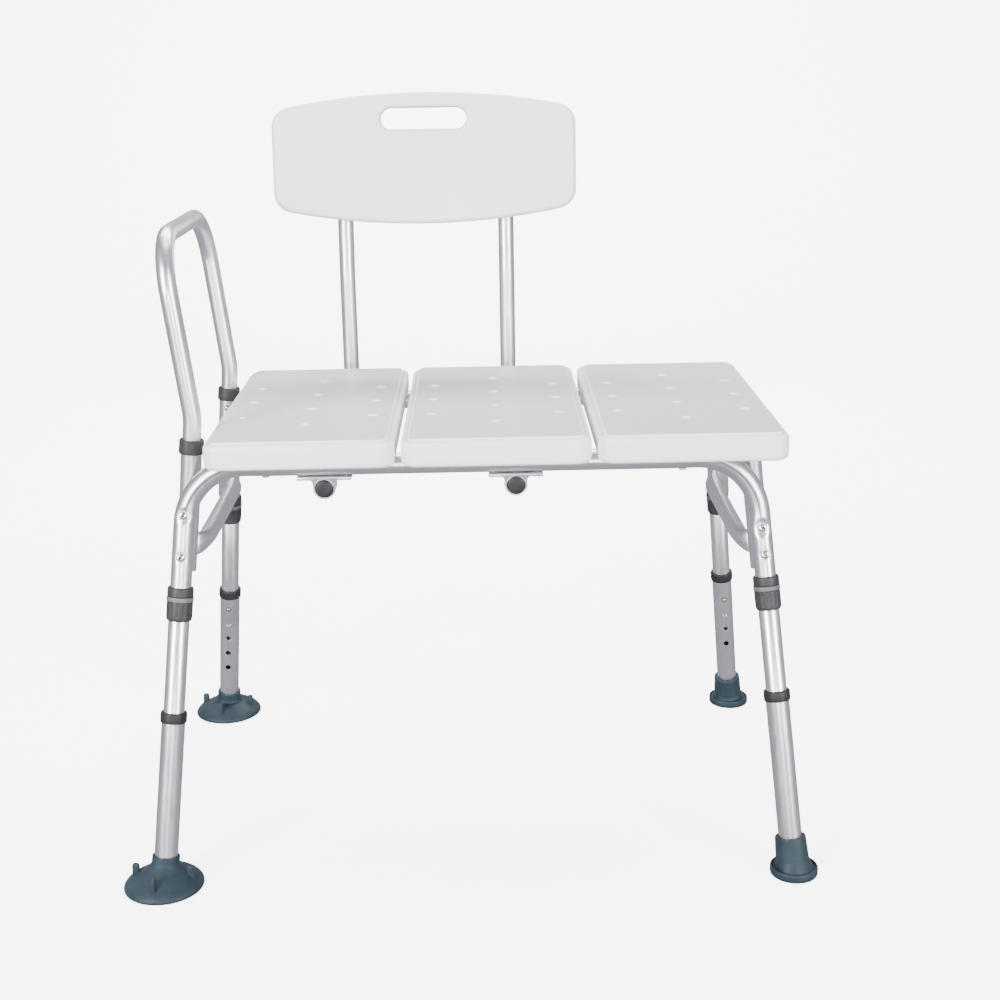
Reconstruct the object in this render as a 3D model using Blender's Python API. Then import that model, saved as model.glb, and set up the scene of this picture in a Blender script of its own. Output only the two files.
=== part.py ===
"""Bath transfer bench: three moulded seat panels on a bent-tube frame, four
telescopic legs, one lift-out arm rail and one slide-out backrest.

Metres, +Z up, +X to the sitter's left-to-right along the seat, -Y is the open
front.  The origin is the centre of the bounding box's bottom, on the floor.
Every node is one object; every body that moves hangs from an empty that sits
on its joint's axis.
"""
import bpy
import bmesh
import math
from mathutils import Vector, Matrix

# ----------------------------------------------------------------- dimensions
SIDES = 12                      # facets round every tube
GAP = 0.0003                    # clearance between neighbouring solids

# tube sizes: legs and frame 1 in, leg extensions 1 1/8 in, arm and back 7/8 in
R_FRAME, WALL = 0.0127, 0.0014
R_LOWER = 0.0143
R_ARM = 0.0111
R_ARM_IN = 0.0098

# feet decide how wide the whole object is
R_CUP = 0.0490
R_TIP = 0.0293
XC = (R_CUP - R_TIP) / 2.0      # middle of the leg frame

# leg lines: foot point on the floor and lean per metre of height
FOOT_X, FOOT_Y = 0.3870, 0.2585
LEAN_X, LEAN_Y = 0.0971, 0.1697
RAIL_Z = 0.5080                 # centre line of the rails
RAIL_Y = FOOT_Y - LEAN_Y * RAIL_Z
BEND_R = 0.074                  # rail to leg bend
SOCKET_Y = RAIL_Y - 2 * R_FRAME - GAP       # upright part of the sockets
SOCKET_KNEE_Z = 0.4780          # below it they run parallel to the legs
SOCKET_BOTTOM = {-1: 0.3760, 1: 0.3660}
SOCKET_TOP = 0.5330
SUPPORT_TOP = 0.5090

# stations along a leg, measured from the floor point along its axis
S_COLLAR = 0.3526
S_CLIP = S_COLLAR + 0.0060      # groove of the release clip
S_UPPER_END = S_COLLAR - 0.010
NECK_LEN = 0.045
R_NECK = R_FRAME - WALL - 0.0004
S_MID_END = 0.118
S_TUBE_LOW = {-1: 0.0120, 1: 0.0247}     # left legs one half step longer
LOWER_LEN = 0.2050
RING_H = 0.013
S_BUTTON = 0.1900
HOLE_PITCH = 0.0254
HOLE_R = 0.0038

# seat
SEAT_W, SEAT_D = 0.688, 0.436
SEAT_SHIFT = 0.0302             # seat sits towards the right of the frame
SEAT_Y0 = -0.2135               # front edge
SEAT_TOP, SEAT_THICK = 0.5450, 0.0333
PANEL_GAP = 0.007
PANEL_CORNER = 0.019
DRAIN_COL, DRAIN_PITCH, DRAIN_R = 0.0793, 0.0831, 0.0042

# backrest
BACK_X = (-0.175, 0.053)        # posts, from the frame's middle
BACK_TUBE_Z = RAIL_Z - R_FRAME - R_ARM - 0.0024
BACK_POST_Y = 0.2665
BACK_BEND_R = 0.060
BACK_KNEE_Z = 0.670
BACK_TILT = math.radians(7.0)
BACK_END = 0.205                # post length above the knee
BACK_FRONT = -0.1860
PANEL_X = -0.0600
PANEL_HALF_W, PANEL_HALF_H = 0.2120, 0.0900
PANEL_T = 0.024
PANEL_MID = 0.1610              # panel centre above the knee, along the post
SLOT_L, SLOT_H, SLOT_V = 0.120, 0.030, 0.0545

# arm rail
ARM_BOTTOM = 0.4880
ARM_BEND_Z = 0.5630
ARM_LEAN = 0.114
ARM_TOP_Z = 0.7740
ARM_CORNER_R = 0.065

SCREW_Z = {-1: (0.4520, 0.4025), 1: (0.4245, 0.3925)}   # where their axes meet the legs

# ------------------------------------------------------------------ materials
ALU = ((0.66, 0.66, 0.69), 0.32, 1.0)
STEEL = ((0.70, 0.70, 0.71), 0.25, 1.0)
BRASS = ((0.62, 0.44, 0.30), 0.30, 1.0)
WHITE = ((0.80, 0.79, 0.77), 0.45, 0.0)
DARK = ((0.11, 0.11, 0.12), 0.50, 0.0)
LIGHT = ((0.36, 0.36, 0.38), 0.45, 0.0)
RUBBER = ((0.07, 0.11, 0.15), 0.70, 0.0)


def material(name, spec):
    colour, rough, metal = spec
    mat = bpy.data.materials.new(name)
    mat.use_nodes = True
    bsdf = mat.node_tree.nodes["Principled BSDF"]
    bsdf.inputs["Base Color"].default_value = (*colour, 1.0)
    bsdf.inputs["Roughness"].default_value = rough
    bsdf.inputs["Metallic"].default_value = metal
    mat.diffuse_color = (*colour, 1.0)
    return mat


# -------------------------------------------------------------- scene helpers
for old in list(bpy.data.objects):
    bpy.data.objects.remove(old, do_unlink=True)


def pivot(name, at):
    """Empty on a joint's axis, carrying everything that moves with it."""
    e = bpy.data.objects.new(name, None)
    e.empty_display_size = 0.02
    e.location = at
    bpy.context.collection.objects.link(e)
    return e


def make(name, bm, spec, parent=None, origin=None):
    """Turn a bmesh in world coordinates into a named node."""
    bmesh.ops.remove_doubles(bm, verts=bm.verts, dist=1e-7)
    bmesh.ops.recalc_face_normals(bm, faces=bm.faces)
    mesh = bpy.data.meshes.new(name)
    at = Vector(origin) if origin is not None else (
        Vector(parent.location) if parent else Vector((0, 0, 0)))
    bmesh.ops.translate(bm, verts=bm.verts, vec=-at)
    bm.to_mesh(mesh)
    bm.free()
    mesh.shade_smooth()
    mesh.set_sharp_from_angle(angle=math.radians(38))
    obj = bpy.data.objects.new(name, mesh)
    bpy.context.collection.objects.link(obj)
    if parent:
        obj.parent = parent
        obj.location = at - Vector(parent.location)
    else:
        obj.location = at
    mesh.materials.append(material(name, spec))
    return obj


def cut(obj, bm_cutter):
    """Subtract a cutter given in world coordinates, and keep the result."""
    bmesh.ops.recalc_face_normals(bm_cutter, faces=bm_cutter.faces)
    mesh = bpy.data.meshes.new("cutter")
    bm_cutter.to_mesh(mesh)
    bm_cutter.free()
    tool = bpy.data.objects.new("cutter", mesh)
    tool.hide_render = True
    tool.display_type = "WIRE"
    bpy.context.collection.objects.link(tool)
    mod = obj.modifiers.new("cut", "BOOLEAN")
    mod.operation = "DIFFERENCE"
    mod.solver = "EXACT"
    mod.object = tool
    bpy.context.view_layer.update()
    deps = bpy.context.evaluated_depsgraph_get()
    new = bpy.data.meshes.new_from_object(obj.evaluated_get(deps))
    obj.modifiers.remove(mod)
    old = obj.data
    new.name = old.name + "_cut"
    obj.data = new
    bpy.data.objects.remove(tool, do_unlink=True)
    bpy.data.meshes.remove(mesh)
    bpy.data.meshes.remove(old)
    new.shade_smooth()
    new.set_sharp_from_angle(angle=math.radians(38))
    return obj


# ------------------------------------------------------------- shape builders
def basis(tangent, ref):
    """Two unit vectors across a tangent, the first towards ref."""
    t = Vector(tangent).normalized()
    a = Vector(ref) - t * Vector(ref).dot(t)
    a.normalize()
    return t, a, t.cross(a)


def ring(bm, centre, tangent, ref, ra, rb=None, n=SIDES, turn=0.0):
    """A loop of n vertices round a centre, across the tangent."""
    rb = ra if rb is None else rb
    _, a, b = basis(tangent, ref)
    out = []
    for i in range(n):
        w = 2 * math.pi * i / n + turn
        out.append(bm.verts.new(Vector(centre) + a * (ra * math.cos(w))
                                + b * (rb * math.sin(w))))
    return out


def skin(bm, loops, closed=False):
    """Faces between loops that follow each other."""
    pairs = list(zip(loops, loops[1:]))
    if closed:
        pairs.append((loops[-1], loops[0]))
    for lo, hi in pairs:
        n = len(lo)
        for i in range(n):
            j = (i + 1) % n
            bm.faces.new((lo[i], lo[j], hi[j], hi[i]))


def cap(bm, loop):
    bm.faces.new(loop)


def fillet(points, radii, seg=6, closed=False):
    """Polyline with its corners rounded to the radii given."""
    pts = [Vector(p) for p in points]
    out = []
    n = len(pts)
    for i, p in enumerate(pts):
        r = radii[i]
        if r <= 0 or (not closed and i in (0, n - 1)):
            out.append(p)
            continue
        a = (pts[i - 1] - p).normalized()
        b = (pts[(i + 1) % n] - p).normalized()
        ang = a.angle(b)
        reach = r / math.tan(ang / 2)
        centre = p + (a + b).normalized() * (r / math.sin(ang / 2))
        v0 = p + a * reach - centre
        v1 = p + b * reach - centre
        steps = seg if isinstance(seg, int) else seg[i]
        total = v0.angle(v1)
        axis = v0.cross(v1).normalized()
        for k in range(steps + 1):
            out.append(centre + Matrix.Rotation(total * k / steps, 3, axis) @ v0)
    return out


def tangents(path):
    out = []
    for i in range(len(path)):
        if i == 0:
            t = path[1] - path[0]
        elif i == len(path) - 1:
            t = path[-1] - path[-2]
        else:
            t = (path[i] - path[i - 1]).normalized() + (path[i + 1] - path[i]).normalized()
        out.append(t.normalized())
    return out


def tube(path, r_out, r_in, ref, n=SIDES):
    """Open-ended tube swept along a path."""
    bm = bmesh.new()
    tans = tangents(path)
    outer, inner = [], []
    for i, (p, t) in enumerate(zip(path, tans)):
        outer.append(ring(bm, p, t, ref, r_out, n=n))
    for i, (p, t) in enumerate(zip(path, tans)):
        inner.append(ring(bm, p, t, ref, r_in, n=n))
    skin(bm, outer + inner[::-1], closed=True)
    return bm


def lathe(axis_at, axis, ref, profile, n=SIDES, turn=0.0, bm=None):
    """Turned solid.  profile is (radius, station, ...) round its section.
    The loop is closed when every radius is positive, otherwise both ends
    are capped."""
    bm = bm or bmesh.new()
    t = Vector(axis).normalized()
    loops = [ring(bm, Vector(axis_at) + t * s, t, ref, r, n=n, turn=turn)
             for r, s in profile]
    skin(bm, loops)
    return bm, loops


def bushing(axis_at, axis, ref, profile, n=SIDES):
    """Turned ring with a bore: the profile closes on itself."""
    bm, loops = lathe(axis_at, axis, ref, profile, n)
    skin(bm, [loops[-1], loops[0]])
    return bm


def plug(axis_at, axis, ref, profile, n=SIDES, bm=None, turn=0.0):
    """Turned solid without a bore, capped at both ends."""
    bm, loops = lathe(axis_at, axis, ref, profile, n, turn, bm)
    cap(bm, loops[0][::-1])
    cap(bm, loops[-1])
    return bm


def box(bm, lo, hi):
    xs, ys, zs = zip(lo, hi)
    v = [bm.verts.new((x, y, z)) for z in zs for y in ys for x in xs]
    for f in ((0, 2, 3, 1), (4, 5, 7, 6), (0, 1, 5, 4), (2, 6, 7, 3),
              (0, 4, 6, 2), (1, 3, 7, 5)):
        bm.faces.new([v[i] for i in f])
    return bm


def inset(points, d):
    """Convex outline moved inwards by d."""
    n = len(points)
    area = sum(points[i][0] * points[(i + 1) % n][1]
               - points[(i + 1) % n][0] * points[i][1] for i in range(n))
    side = 1.0 if area > 0 else -1.0
    out = []
    for i in range(n):
        p0, p1, p2 = (Vector(points[j % n][:2]) for j in (i - 1, i, i + 1))
        e0, e1 = (p1 - p0).normalized(), (p2 - p1).normalized()
        n0 = Vector((-e0.y, e0.x)) * side
        n1 = Vector((-e1.y, e1.x)) * side
        m = (n0 + n1).normalized()
        out.append(p1 + m * (d / max(0.3, m.dot(n0))))
    return out


def slab(outline, layers, place):
    """Stack of inset copies of an outline: a moulded panel.
    layers is (inset, height); place maps (u, v, w) to world."""
    bm = bmesh.new()
    loops = []
    for d, h in layers:
        pts = inset(outline, d) if d else [Vector(p[:2]) for p in outline]
        loops.append([bm.verts.new(place(p.x, p.y, h)) for p in pts])
    skin(bm, loops)
    cap(bm, loops[0][::-1])
    cap(bm, loops[-1])
    return bm


# ------------------------------------------------------------------- leg lines
def leg_axis(sx, sy):
    """Foot point on the floor and unit vector up the leg."""
    foot = Vector((XC + sx * FOOT_X, sy * FOOT_Y, 0.0))
    up = Vector((-sx * LEAN_X, -sy * LEAN_Y, 1.0)).normalized()
    return foot, up


def leg_at(sx, sy, s):
    foot, up = leg_axis(sx, sy)
    return foot + up * s


def upper_x(sx, z):
    """X of the upper legs and sockets at a height."""
    return XC + sx * (FOOT_X - LEAN_X * z)


KNEE_Z = (FOOT_Y - RAIL_Y) / LEAN_Y
LEGS = {"front_left": (-1, -1), "front_right": (1, -1),
        "rear_left": (-1, 1), "rear_right": (1, 1)}
REF_Y = Vector((0, 1, 0))
REF_X = Vector((1, 0, 0))
REF_Z = Vector((0, 0, 1))
SEAT_X = XC + SEAT_SHIFT
PANEL_PITCH = (SEAT_W + PANEL_GAP) / 3
PANEL_W = PANEL_PITCH - PANEL_GAP
SEAT_BOTTOM = SEAT_TOP - SEAT_THICK
SEAT_MID_Y = SEAT_Y0 + SEAT_D / 2

frame_body = pivot("frame_origin", (0, 0, 0))

# ------------------------------------------------- rails with their upper legs
def rail_path(sy):
    left, right = leg_at(-1, sy, S_UPPER_END), leg_at(1, sy, S_UPPER_END)
    pts = [left,
           Vector((upper_x(-1, RAIL_Z), sy * RAIL_Y, RAIL_Z)),
           Vector((upper_x(1, RAIL_Z), sy * RAIL_Y, RAIL_Z)),
           right]
    return fillet(pts, [0, BEND_R, BEND_R, 0], seg=7)


def screw_line(sx, sy, z):
    """Axis of a leg screw: a point on the leg and the direction inwards."""
    foot, up = leg_axis(sx, sy)
    return leg_at(sx, sy, z / up.z), button_dir(sx, sy)


def button_dir(sx, sy):
    """Square to the leg, towards the bench's middle in Y."""
    _, up = leg_axis(sx, sy)
    _, a, _ = basis(up, REF_Y)
    return a * (-sy)


def socket_y(z):
    """Distance of the socket's centre line from the middle at a height."""
    return SOCKET_Y + max(0.0, SOCKET_KNEE_Z - z) * LEAN_Y


for tag, sy in (("front", -1), ("rear", 1)):
    obj = make(tag + "_rail", tube(rail_path(sy), R_FRAME, R_FRAME - WALL, REF_Y),
               ALU, frame_body)
    if sy > 0:
        continue
    tool = bmesh.new()
    for sx in (-1, 1):
        for z in SCREW_Z[sx]:
            at, inward = screw_line(sx, sy, z)
            plug(at, inward, REF_Z, [(0.0026, -0.02), (0.0026, 0.0142)], n=6, bm=tool)
    cut(obj, tool)

# ------------------------------------ sockets of the arm rail and right supports
for tag, (sx, sy) in LEGS.items():
    top = SOCKET_TOP if sx < 0 else SUPPORT_TOP
    path = fillet([Vector((upper_x(sx, z), sy * socket_y(z), z))
                   for z in (SOCKET_BOTTOM[sx], SOCKET_KNEE_Z, top)], [0, 0.04, 0], seg=2)
    name = ("socket_" if sx < 0 else "support_") + tag
    obj = make(name, tube(path, R_FRAME, 0.0114, REF_Y), ALU, frame_body)
    tool = bmesh.new()
    if sy < 0:
        for z in SCREW_Z[sx]:
            at, inward = screw_line(sx, sy, z)
            plug(at, inward, REF_Z, [(0.0026, 0.0145), (0.0026, 0.05)], n=6, bm=tool)
    if sx < 0:
        z = 0.5090
        plug((upper_x(sx, z), sy * SOCKET_Y, z), (0, -sy, 0), REF_X,
             [(0.0038, 0.0), (0.0038, 0.02)], n=8, bm=tool)
    if tool.verts:
        cut(obj, tool)
    else:
        tool.free()

# arm rings cap the two left sockets
ARM_RING = ((0.0150, 0.0), (0.0150, 0.0160), (0.0140, 0.0172), (0.0114, 0.0172),
            (0.0114, 0.0145), (0.0130, 0.0145), (0.0130, 0.0))
for tag, (sx, sy) in LEGS.items():
    if sx > 0:
        continue
    z0 = SOCKET_TOP - 0.0142
    at = Vector((upper_x(sx, z0), sy * SOCKET_Y, z0))
    up = Vector((-sx * LEAN_X, 0, 1)).normalized()
    make("arm_ring_" + tag.split("_")[0], bushing(at, up, REF_Y, ARM_RING), DARK, frame_body)

# ----------------------------------------------------------------- side braces
def brace(sx):
    """Side tube at the height of the lower screws, its ends pressed flat."""
    z0 = SCREW_Z[sx][1]
    x0 = upper_x(1, z0) - XC
    y0 = socket_y(z0) - R_FRAME / 0.985 - 0.0025
    half = [  # x from the middle, y, half height, half thickness, lean with the socket
        (x0 + 0.0095, y0, 0.0110, 0.0020, 1.0), (x0 - 0.0040, y0, 0.0142, 0.0020, 1.0),
        (x0 - 0.0115, y0 - 0.0060, 0.0138, 0.0042, 0.8),
        (x0 - 0.0155, y0 - 0.0200, 0.0125, 0.0080, 0.4),
        (x0 - 0.0170, y0 - 0.0420, 0.0111, 0.0107, 0.0)]
    rows = ([(x, -y, h, t, k) for x, y, h, t, k in half]
            + [(x, y, h, t, -k) for x, y, h, t, k in half[::-1]])
    path = [Vector((XC + sx * r[0], r[1], z0)) for r in rows]
    bm = bmesh.new()
    tans = tangents(path)
    tans[0] = tans[1] = Vector((-sx, 0, 0))
    tans[-1] = tans[-2] = Vector((sx, 0, 0))
    loops = [ring(bm, p, t, Vector((0, r[4] * LEAN_Y, 1)), r[2], r[3], n=12)
             for p, t, r in zip(path, tans, rows)]
    skin(bm, loops)
    cap(bm, loops[0][::-1])
    cap(bm, loops[-1])
    return bm


for tag, sx in (("left", -1), ("right", 1)):
    obj = make("side_brace_" + tag, brace(sx), ALU, frame_body)
    at, inward = screw_line(sx, -1, SCREW_Z[sx][1])
    cut(obj, plug(at, inward, REF_Z, [(0.0026, 0.040), (0.0026, 0.056)], n=6))

# --------------------------------------------------------------- frame fasteners
def leg_screw(at, inward, reach):
    """Pan-head screw with the spacer shoulder that fills the gap between leg
    and socket, turned as one."""
    r, head, g0 = 0.0020, 0.0047, R_FRAME
    return plug(at, inward, REF_Z,
                [(head * 0.62, -g0 - 0.0026), (head, -g0 - 0.0014), (head, -g0 - GAP),
                 (r, -g0 - GAP), (r, g0 + GAP), (0.0052, g0 + GAP),
                 (0.0052, g0 + 0.0046), (r, g0 + 0.0046), (r, reach)], n=8)


for side, sx in (("left", -1), ("right", 1)):
    for place, z in zip(("upper", "lower"), SCREW_Z[sx]):
        at, inward = screw_line(sx, -1, z)
        make("leg_screw_%s_%s" % (side, place),
             leg_screw(at, inward, 0.0515 if place == "lower" else 0.0450), STEEL, frame_body)

# ------------------------------------------------------------------ seat panels
def rounded_rect(w, d, r, seg):
    pts = [(-w / 2, -d / 2, 0), (w / 2, -d / 2, 0), (w / 2, d / 2, 0), (-w / 2, d / 2, 0)]
    return fillet(pts, [r] * 4, seg=seg, closed=True)


def drain_points():
    for col, count in ((-1, 3), (0, 4), (1, 3)):
        for i in range(count):
            yield col * DRAIN_COL, ((count - 1) / 2 - i) * DRAIN_PITCH


for tag, k in (("left", -1), ("middle", 0), ("right", 1)):
    cx = SEAT_X + k * PANEL_PITCH
    outline = rounded_rect(PANEL_W, SEAT_D, PANEL_CORNER, 3)
    layers = [(0.0055, SEAT_BOTTOM), (0.0, SEAT_BOTTOM + 0.0055),
              (0.0, SEAT_TOP - 0.0065), (0.0035, SEAT_TOP - 0.0022),
              (0.0075, SEAT_TOP - 0.0018), (0.0090, SEAT_TOP)]
    obj = make("seat_panel_" + tag,
               slab(outline, layers, lambda u, v, w: Vector((cx + u, SEAT_MID_Y + v, w))),
               WHITE, frame_body)
    tool = bmesh.new()
    for sy in (-1, 1):          # channels that the rails lie in
        box(tool, (cx - 0.2, sy * RAIL_Y - R_FRAME - GAP, SEAT_BOTTOM - 0.01),
            (cx + 0.2, sy * RAIL_Y + R_FRAME + GAP, RAIL_Z + R_FRAME + GAP))
    # hollow of the moulding between the rails, open below
    box(tool, (cx - PANEL_W / 2 + 0.006, -RAIL_Y + R_FRAME + 0.008, SEAT_BOTTOM - 0.01),
        (cx + PANEL_W / 2 - 0.006, RAIL_Y - R_FRAME - 0.008, SEAT_TOP - 0.0060))
    cut(obj, tool)
    tool = bmesh.new()
    for u, v in drain_points():
        plug((cx + u, SEAT_MID_Y + v, SEAT_TOP - 0.010), REF_Z, REF_X,
             [(DRAIN_R, 0.0), (DRAIN_R, 0.02)], n=8, bm=tool)
    cut(obj, tool)

# ------------------------------------------- saddle brackets of the back tubes
def saddle(x, sy):
    """Plate under the rail with a strap round the back tube, cut in one."""
    zt, zb = RAIL_Z - R_FRAME - GAP, RAIL_Z - R_FRAME - GAP - 0.0018
    r = R_ARM + 0.0004 + 0.0020
    c = Vector((x, BACK_TUBE_Z))
    pts = [(x - 0.0325, zt), (x - 0.0325, zb), (x - r - 0.0015, zb)]
    for i in range(9):
        w = math.pi + math.pi * i / 8
        pts.append((c.x + r * math.cos(w), c.y + 0.0015 + (r + 0.0015) * math.sin(w)))
    pts += [(x + r + 0.0015, zb), (x + 0.0325, zb), (x + 0.0325, zt)]
    bm = bmesh.new()
    y0, y1 = sy * RAIL_Y - 0.0115, sy * RAIL_Y + 0.0115
    a = [bm.verts.new((p[0], y0, p[1])) for p in pts]
    b = [bm.verts.new((p[0], y1, p[1])) for p in pts]
    skin(bm, [a, b])
    cap(bm, a)
    cap(bm, b[::-1])
    return bm


for side, bx in (("left", BACK_X[0]), ("right", BACK_X[1])):
    for tag, sy in (("front", -1), ("rear", 1)):
        x = XC + bx
        obj = make("saddle_%s_%s" % (tag, side), saddle(x, sy), ALU, frame_body)
        tool = bmesh.new()
        plug((x, sy * RAIL_Y - 0.03, BACK_TUBE_Z), REF_Y, REF_X,
             [(R_ARM + 0.0003, 0.0), (R_ARM + 0.0003, 0.06)], bm=tool)
        cut(obj, tool)

# ------------------------------------------------------------- leg assemblies
COLLAR = ((0.0140, -0.0205), (0.0150, -0.0190), (0.0157, -0.0150), (0.0157, 0.0030),
          (0.0137, 0.0030), (0.0137, 0.0090), (0.0157, 0.0090), (0.0157, 0.0185),
          (0.0148, 0.0205), (0.0130, 0.0205), (0.0130, -0.0205))
LOW_RING = ((0.0160, -0.0065), (0.0160, 0.0050), (0.0148, 0.0065), (0.0130, 0.0065),
            (0.0130, 0.0043), (0.0146, 0.0043), (0.0146, -0.0065))


for tag, (sx, sy) in LEGS.items():
    foot, up = leg_axis(sx, sy)
    out = button_dir(sx, sy)
    side = up.cross(out)

    make("collar_" + tag, bushing(leg_at(sx, sy, S_COLLAR), up, REF_Y, COLLAR),
         DARK, frame_body)

    # release clip: a ring in the collar's groove with a round thumb button
    at = leg_at(sx, sy, S_CLIP)
    clip = pivot("clip_axis_" + tag, at)
    bm = bmesh.new()
    h = 0.0026
    shift = out * 0.0008
    o1 = ring(bm, at - up * h + shift * 0.4, up, REF_Y, 0.0162)
    o2 = ring(bm, at + up * h + shift * 0.4, up, REF_Y, 0.0162)
    i2 = ring(bm, at + up * h + shift, up, REF_Y, 0.0150)
    i1 = ring(bm, at - up * h + shift, up, REF_Y, 0.0150)
    skin(bm, [o1, o2, i2, i1], closed=True)
    obj = make("release_clip_" + tag, bm, LIGHT, clip)
    # the button stands on a neck narrower than the groove
    bm = plug(at + out * 0.01580, out, up,
              [(0.0024, 0.0), (0.0024, 0.0020), (0.0048, 0.0020), (0.0048, 0.0034),
               (0.0040, 0.0042)], n=12)
    pad = bpy.data.meshes.new("pad")
    bmesh.ops.recalc_face_normals(bm, faces=bm.faces)
    bm.to_mesh(pad)
    bm.free()
    tool = bpy.data.objects.new("pad", pad)
    bpy.context.collection.objects.link(tool)
    mod = obj.modifiers.new("join", "BOOLEAN")
    mod.operation = "UNION"
    mod.solver = "EXACT"
    mod.object = tool
    bpy.context.view_layer.update()
    new = bpy.data.meshes.new_from_object(
        obj.evaluated_get(bpy.context.evaluated_depsgraph_get()))
    obj.modifiers.remove(mod)
    obj.data = new
    bpy.data.objects.remove(tool, do_unlink=True)
    new.shade_smooth()
    new.set_sharp_from_angle(angle=math.radians(38))

    # leg tube: reduced neck up inside the rail's leg, snap-button hole below
    leg = pivot("leg_axis_" + tag, leg_at(sx, sy, S_UPPER_END))
    s1 = S_UPPER_END - 0.0004
    profile = [(R_FRAME, S_MID_END), (R_FRAME, s1), (R_NECK, s1 + GAP),
               (R_NECK, s1 + NECK_LEN), (R_NECK - 0.0013, s1 + NECK_LEN),
               (R_NECK - 0.0013, s1 - 0.004), (R_FRAME - WALL, s1 - 0.006),
               (R_FRAME - WALL, S_MID_END)]
    obj = make("leg_tube_" + tag, bushing(foot, up, REF_Y, profile), ALU, leg)
    tool = plug(leg_at(sx, sy, S_BUTTON), out, up, [(0.0038, 0.0), (0.0038, 0.03)], n=8)
    cut(obj, tool)

    # snap button of the height setting
    at = leg_at(sx, sy, S_BUTTON)
    snap = pivot("snap_axis_" + tag, at)
    snap.parent = leg
    snap.location = at - Vector(leg.location)
    bm = plug(at, out, up, [(0.0045, 0.0078), (0.0045, 0.0092), (0.0033, 0.0092),
                            (0.0033, 0.0160), (0.0024, 0.0170)], n=8)
    obj = make("snap_button_" + tag, bm, BRASS, None, origin=at)
    obj.parent = snap
    obj.location = (0, 0, 0)

    # lower leg: outer tube with two rows of holes, ring and foot
    low = pivot("height_axis_" + tag, leg_at(sx, sy, S_TUBE_LOW[sx]))
    low.parent = leg
    low.location = leg_at(sx, sy, S_TUBE_LOW[sx]) - Vector(leg.location)
    s0 = S_TUBE_LOW[sx]
    s_top = s0 + LOWER_LEN
    profile = [(R_LOWER, s0), (R_LOWER, s_top), (0.0130, s_top), (0.0130, s0)]
    origin = leg_at(sx, sy, s0)
    obj = make("lower_tube_" + tag, bushing(foot, up, REF_Y, profile), ALU, None, origin=origin)
    obj.parent = low
    obj.location = (0, 0, 0)
    first_a = s_top - 0.027
    tool = bmesh.new()
    # row A has five holes, row B four of them half a step lower
    row_a = out if sx < 0 else side * (-1 if side.x * sx > 0 else 1)
    row_b = out if sx > 0 else side * (-1 if side.x * sx > 0 else 1)
    for i in range(5):
        plug(leg_at(sx, sy, first_a - i * HOLE_PITCH), row_a, up,
             [(HOLE_R, 0.004), (HOLE_R, 0.02)], n=6, bm=tool)
    for i in range(4):
        plug(leg_at(sx, sy, first_a - (i + 0.5) * HOLE_PITCH), row_b, up,
             [(HOLE_R, 0.004), (HOLE_R, 0.02)], n=6, bm=tool)
    cut(obj, tool)
    obj = make("lower_ring_" + tag,
               bushing(leg_at(sx, sy, s_top - 0.004), up, REF_Y, LOW_RING), DARK,
               None, origin=origin)
    obj.parent = low
    obj.location = (0, 0, 0)

    # foot: the neck follows the leg, the base lies flat on the floor
    bm = bmesh.new()
    Z = Vector((0, 0, 1))
    if sx < 0:      # suction cup
        rows = [(foot + Z * 0.0, Z, R_CUP - 0.0015), (foot + Z * 0.0035, Z, R_CUP),
                (foot + Z * 0.0108, Z, 0.0418), (foot + Z * 0.0188, Z, 0.0268),
                (leg_at(sx, sy, 0.0270), up, 0.0188), (leg_at(sx, sy, 0.0390), up, 0.0172),
                (leg_at(sx, sy, 0.0390), up, 0.0146), (leg_at(sx, sy, s0 - GAP), up, 0.0146)]
    else:           # plain rubber tip
        rows = [(foot + Z * 0.0, Z, R_TIP - 0.0015), (foot + Z * 0.0060, Z, R_TIP),
                (foot + Z * 0.0130, Z, 0.0280), (leg_at(sx, sy, 0.0215), up, 0.0206),
                (leg_at(sx, sy, 0.0470), up, 0.0190),
                (leg_at(sx, sy, 0.0470), up, 0.0146), (leg_at(sx, sy, s0 - GAP), up, 0.0146)]
    loops = [ring(bm, c, t, REF_Y, r) for c, t, r in rows]
    skin(bm, loops)
    cap(bm, loops[0][::-1])
    cap(bm, loops[-1])
    if sx < 0:      # shallow hollow under the suction cup
        pass
    name = ("suction_foot_" if sx < 0 else "rubber_tip_") + tag
    obj = make(name, bm, RUBBER, None, origin=origin)
    obj.parent = low
    obj.location = (0, 0, 0)
    if sx < 0:
        tool = plug(foot - Z * 0.01, Z, REF_Y,
                    [(0.0410, 0.0), (0.0410, 0.0112), (0.0200, 0.0150)], n=12)
        cut(obj, tool)

# ------------------------------------------------------------------- arm rail
arm_axis = Vector((LEAN_X, 0, 1)).normalized()
arm = pivot("arm_axis", (upper_x(-1, SOCKET_TOP), 0, SOCKET_TOP))


def arm_x(z):
    return upper_x(-1, ARM_BEND_Z) - ARM_LEAN * (z - ARM_BEND_Z)


pts = []
for sy in (-1, 1):
    leg_pts = [Vector((upper_x(-1, ARM_BOTTOM), sy * SOCKET_Y, ARM_BOTTOM)),
               Vector((upper_x(-1, ARM_BEND_Z), sy * SOCKET_Y, ARM_BEND_Z)),
               Vector((arm_x(ARM_TOP_Z), sy * SOCKET_Y, ARM_TOP_Z))]
    pts += leg_pts if sy < 0 else leg_pts[::-1]
path = fillet(pts, [0, 0.08, ARM_CORNER_R, ARM_CORNER_R, 0.08, 0],
              seg={1: 2, 2: 7, 3: 7, 4: 2})
obj = make("arm_rail", tube(path, R_ARM, R_ARM_IN, REF_X), ALU, arm)
BUTTON_Z = 0.5090
tool = bmesh.new()
for sy in (-1, 1):
    plug((upper_x(-1, BUTTON_Z), sy * SOCKET_Y, BUTTON_Z), (0, -sy, 0), REF_X,
         [(0.0038, 0.0), (0.0038, 0.02)], n=8, bm=tool)
cut(obj, tool)
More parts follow.
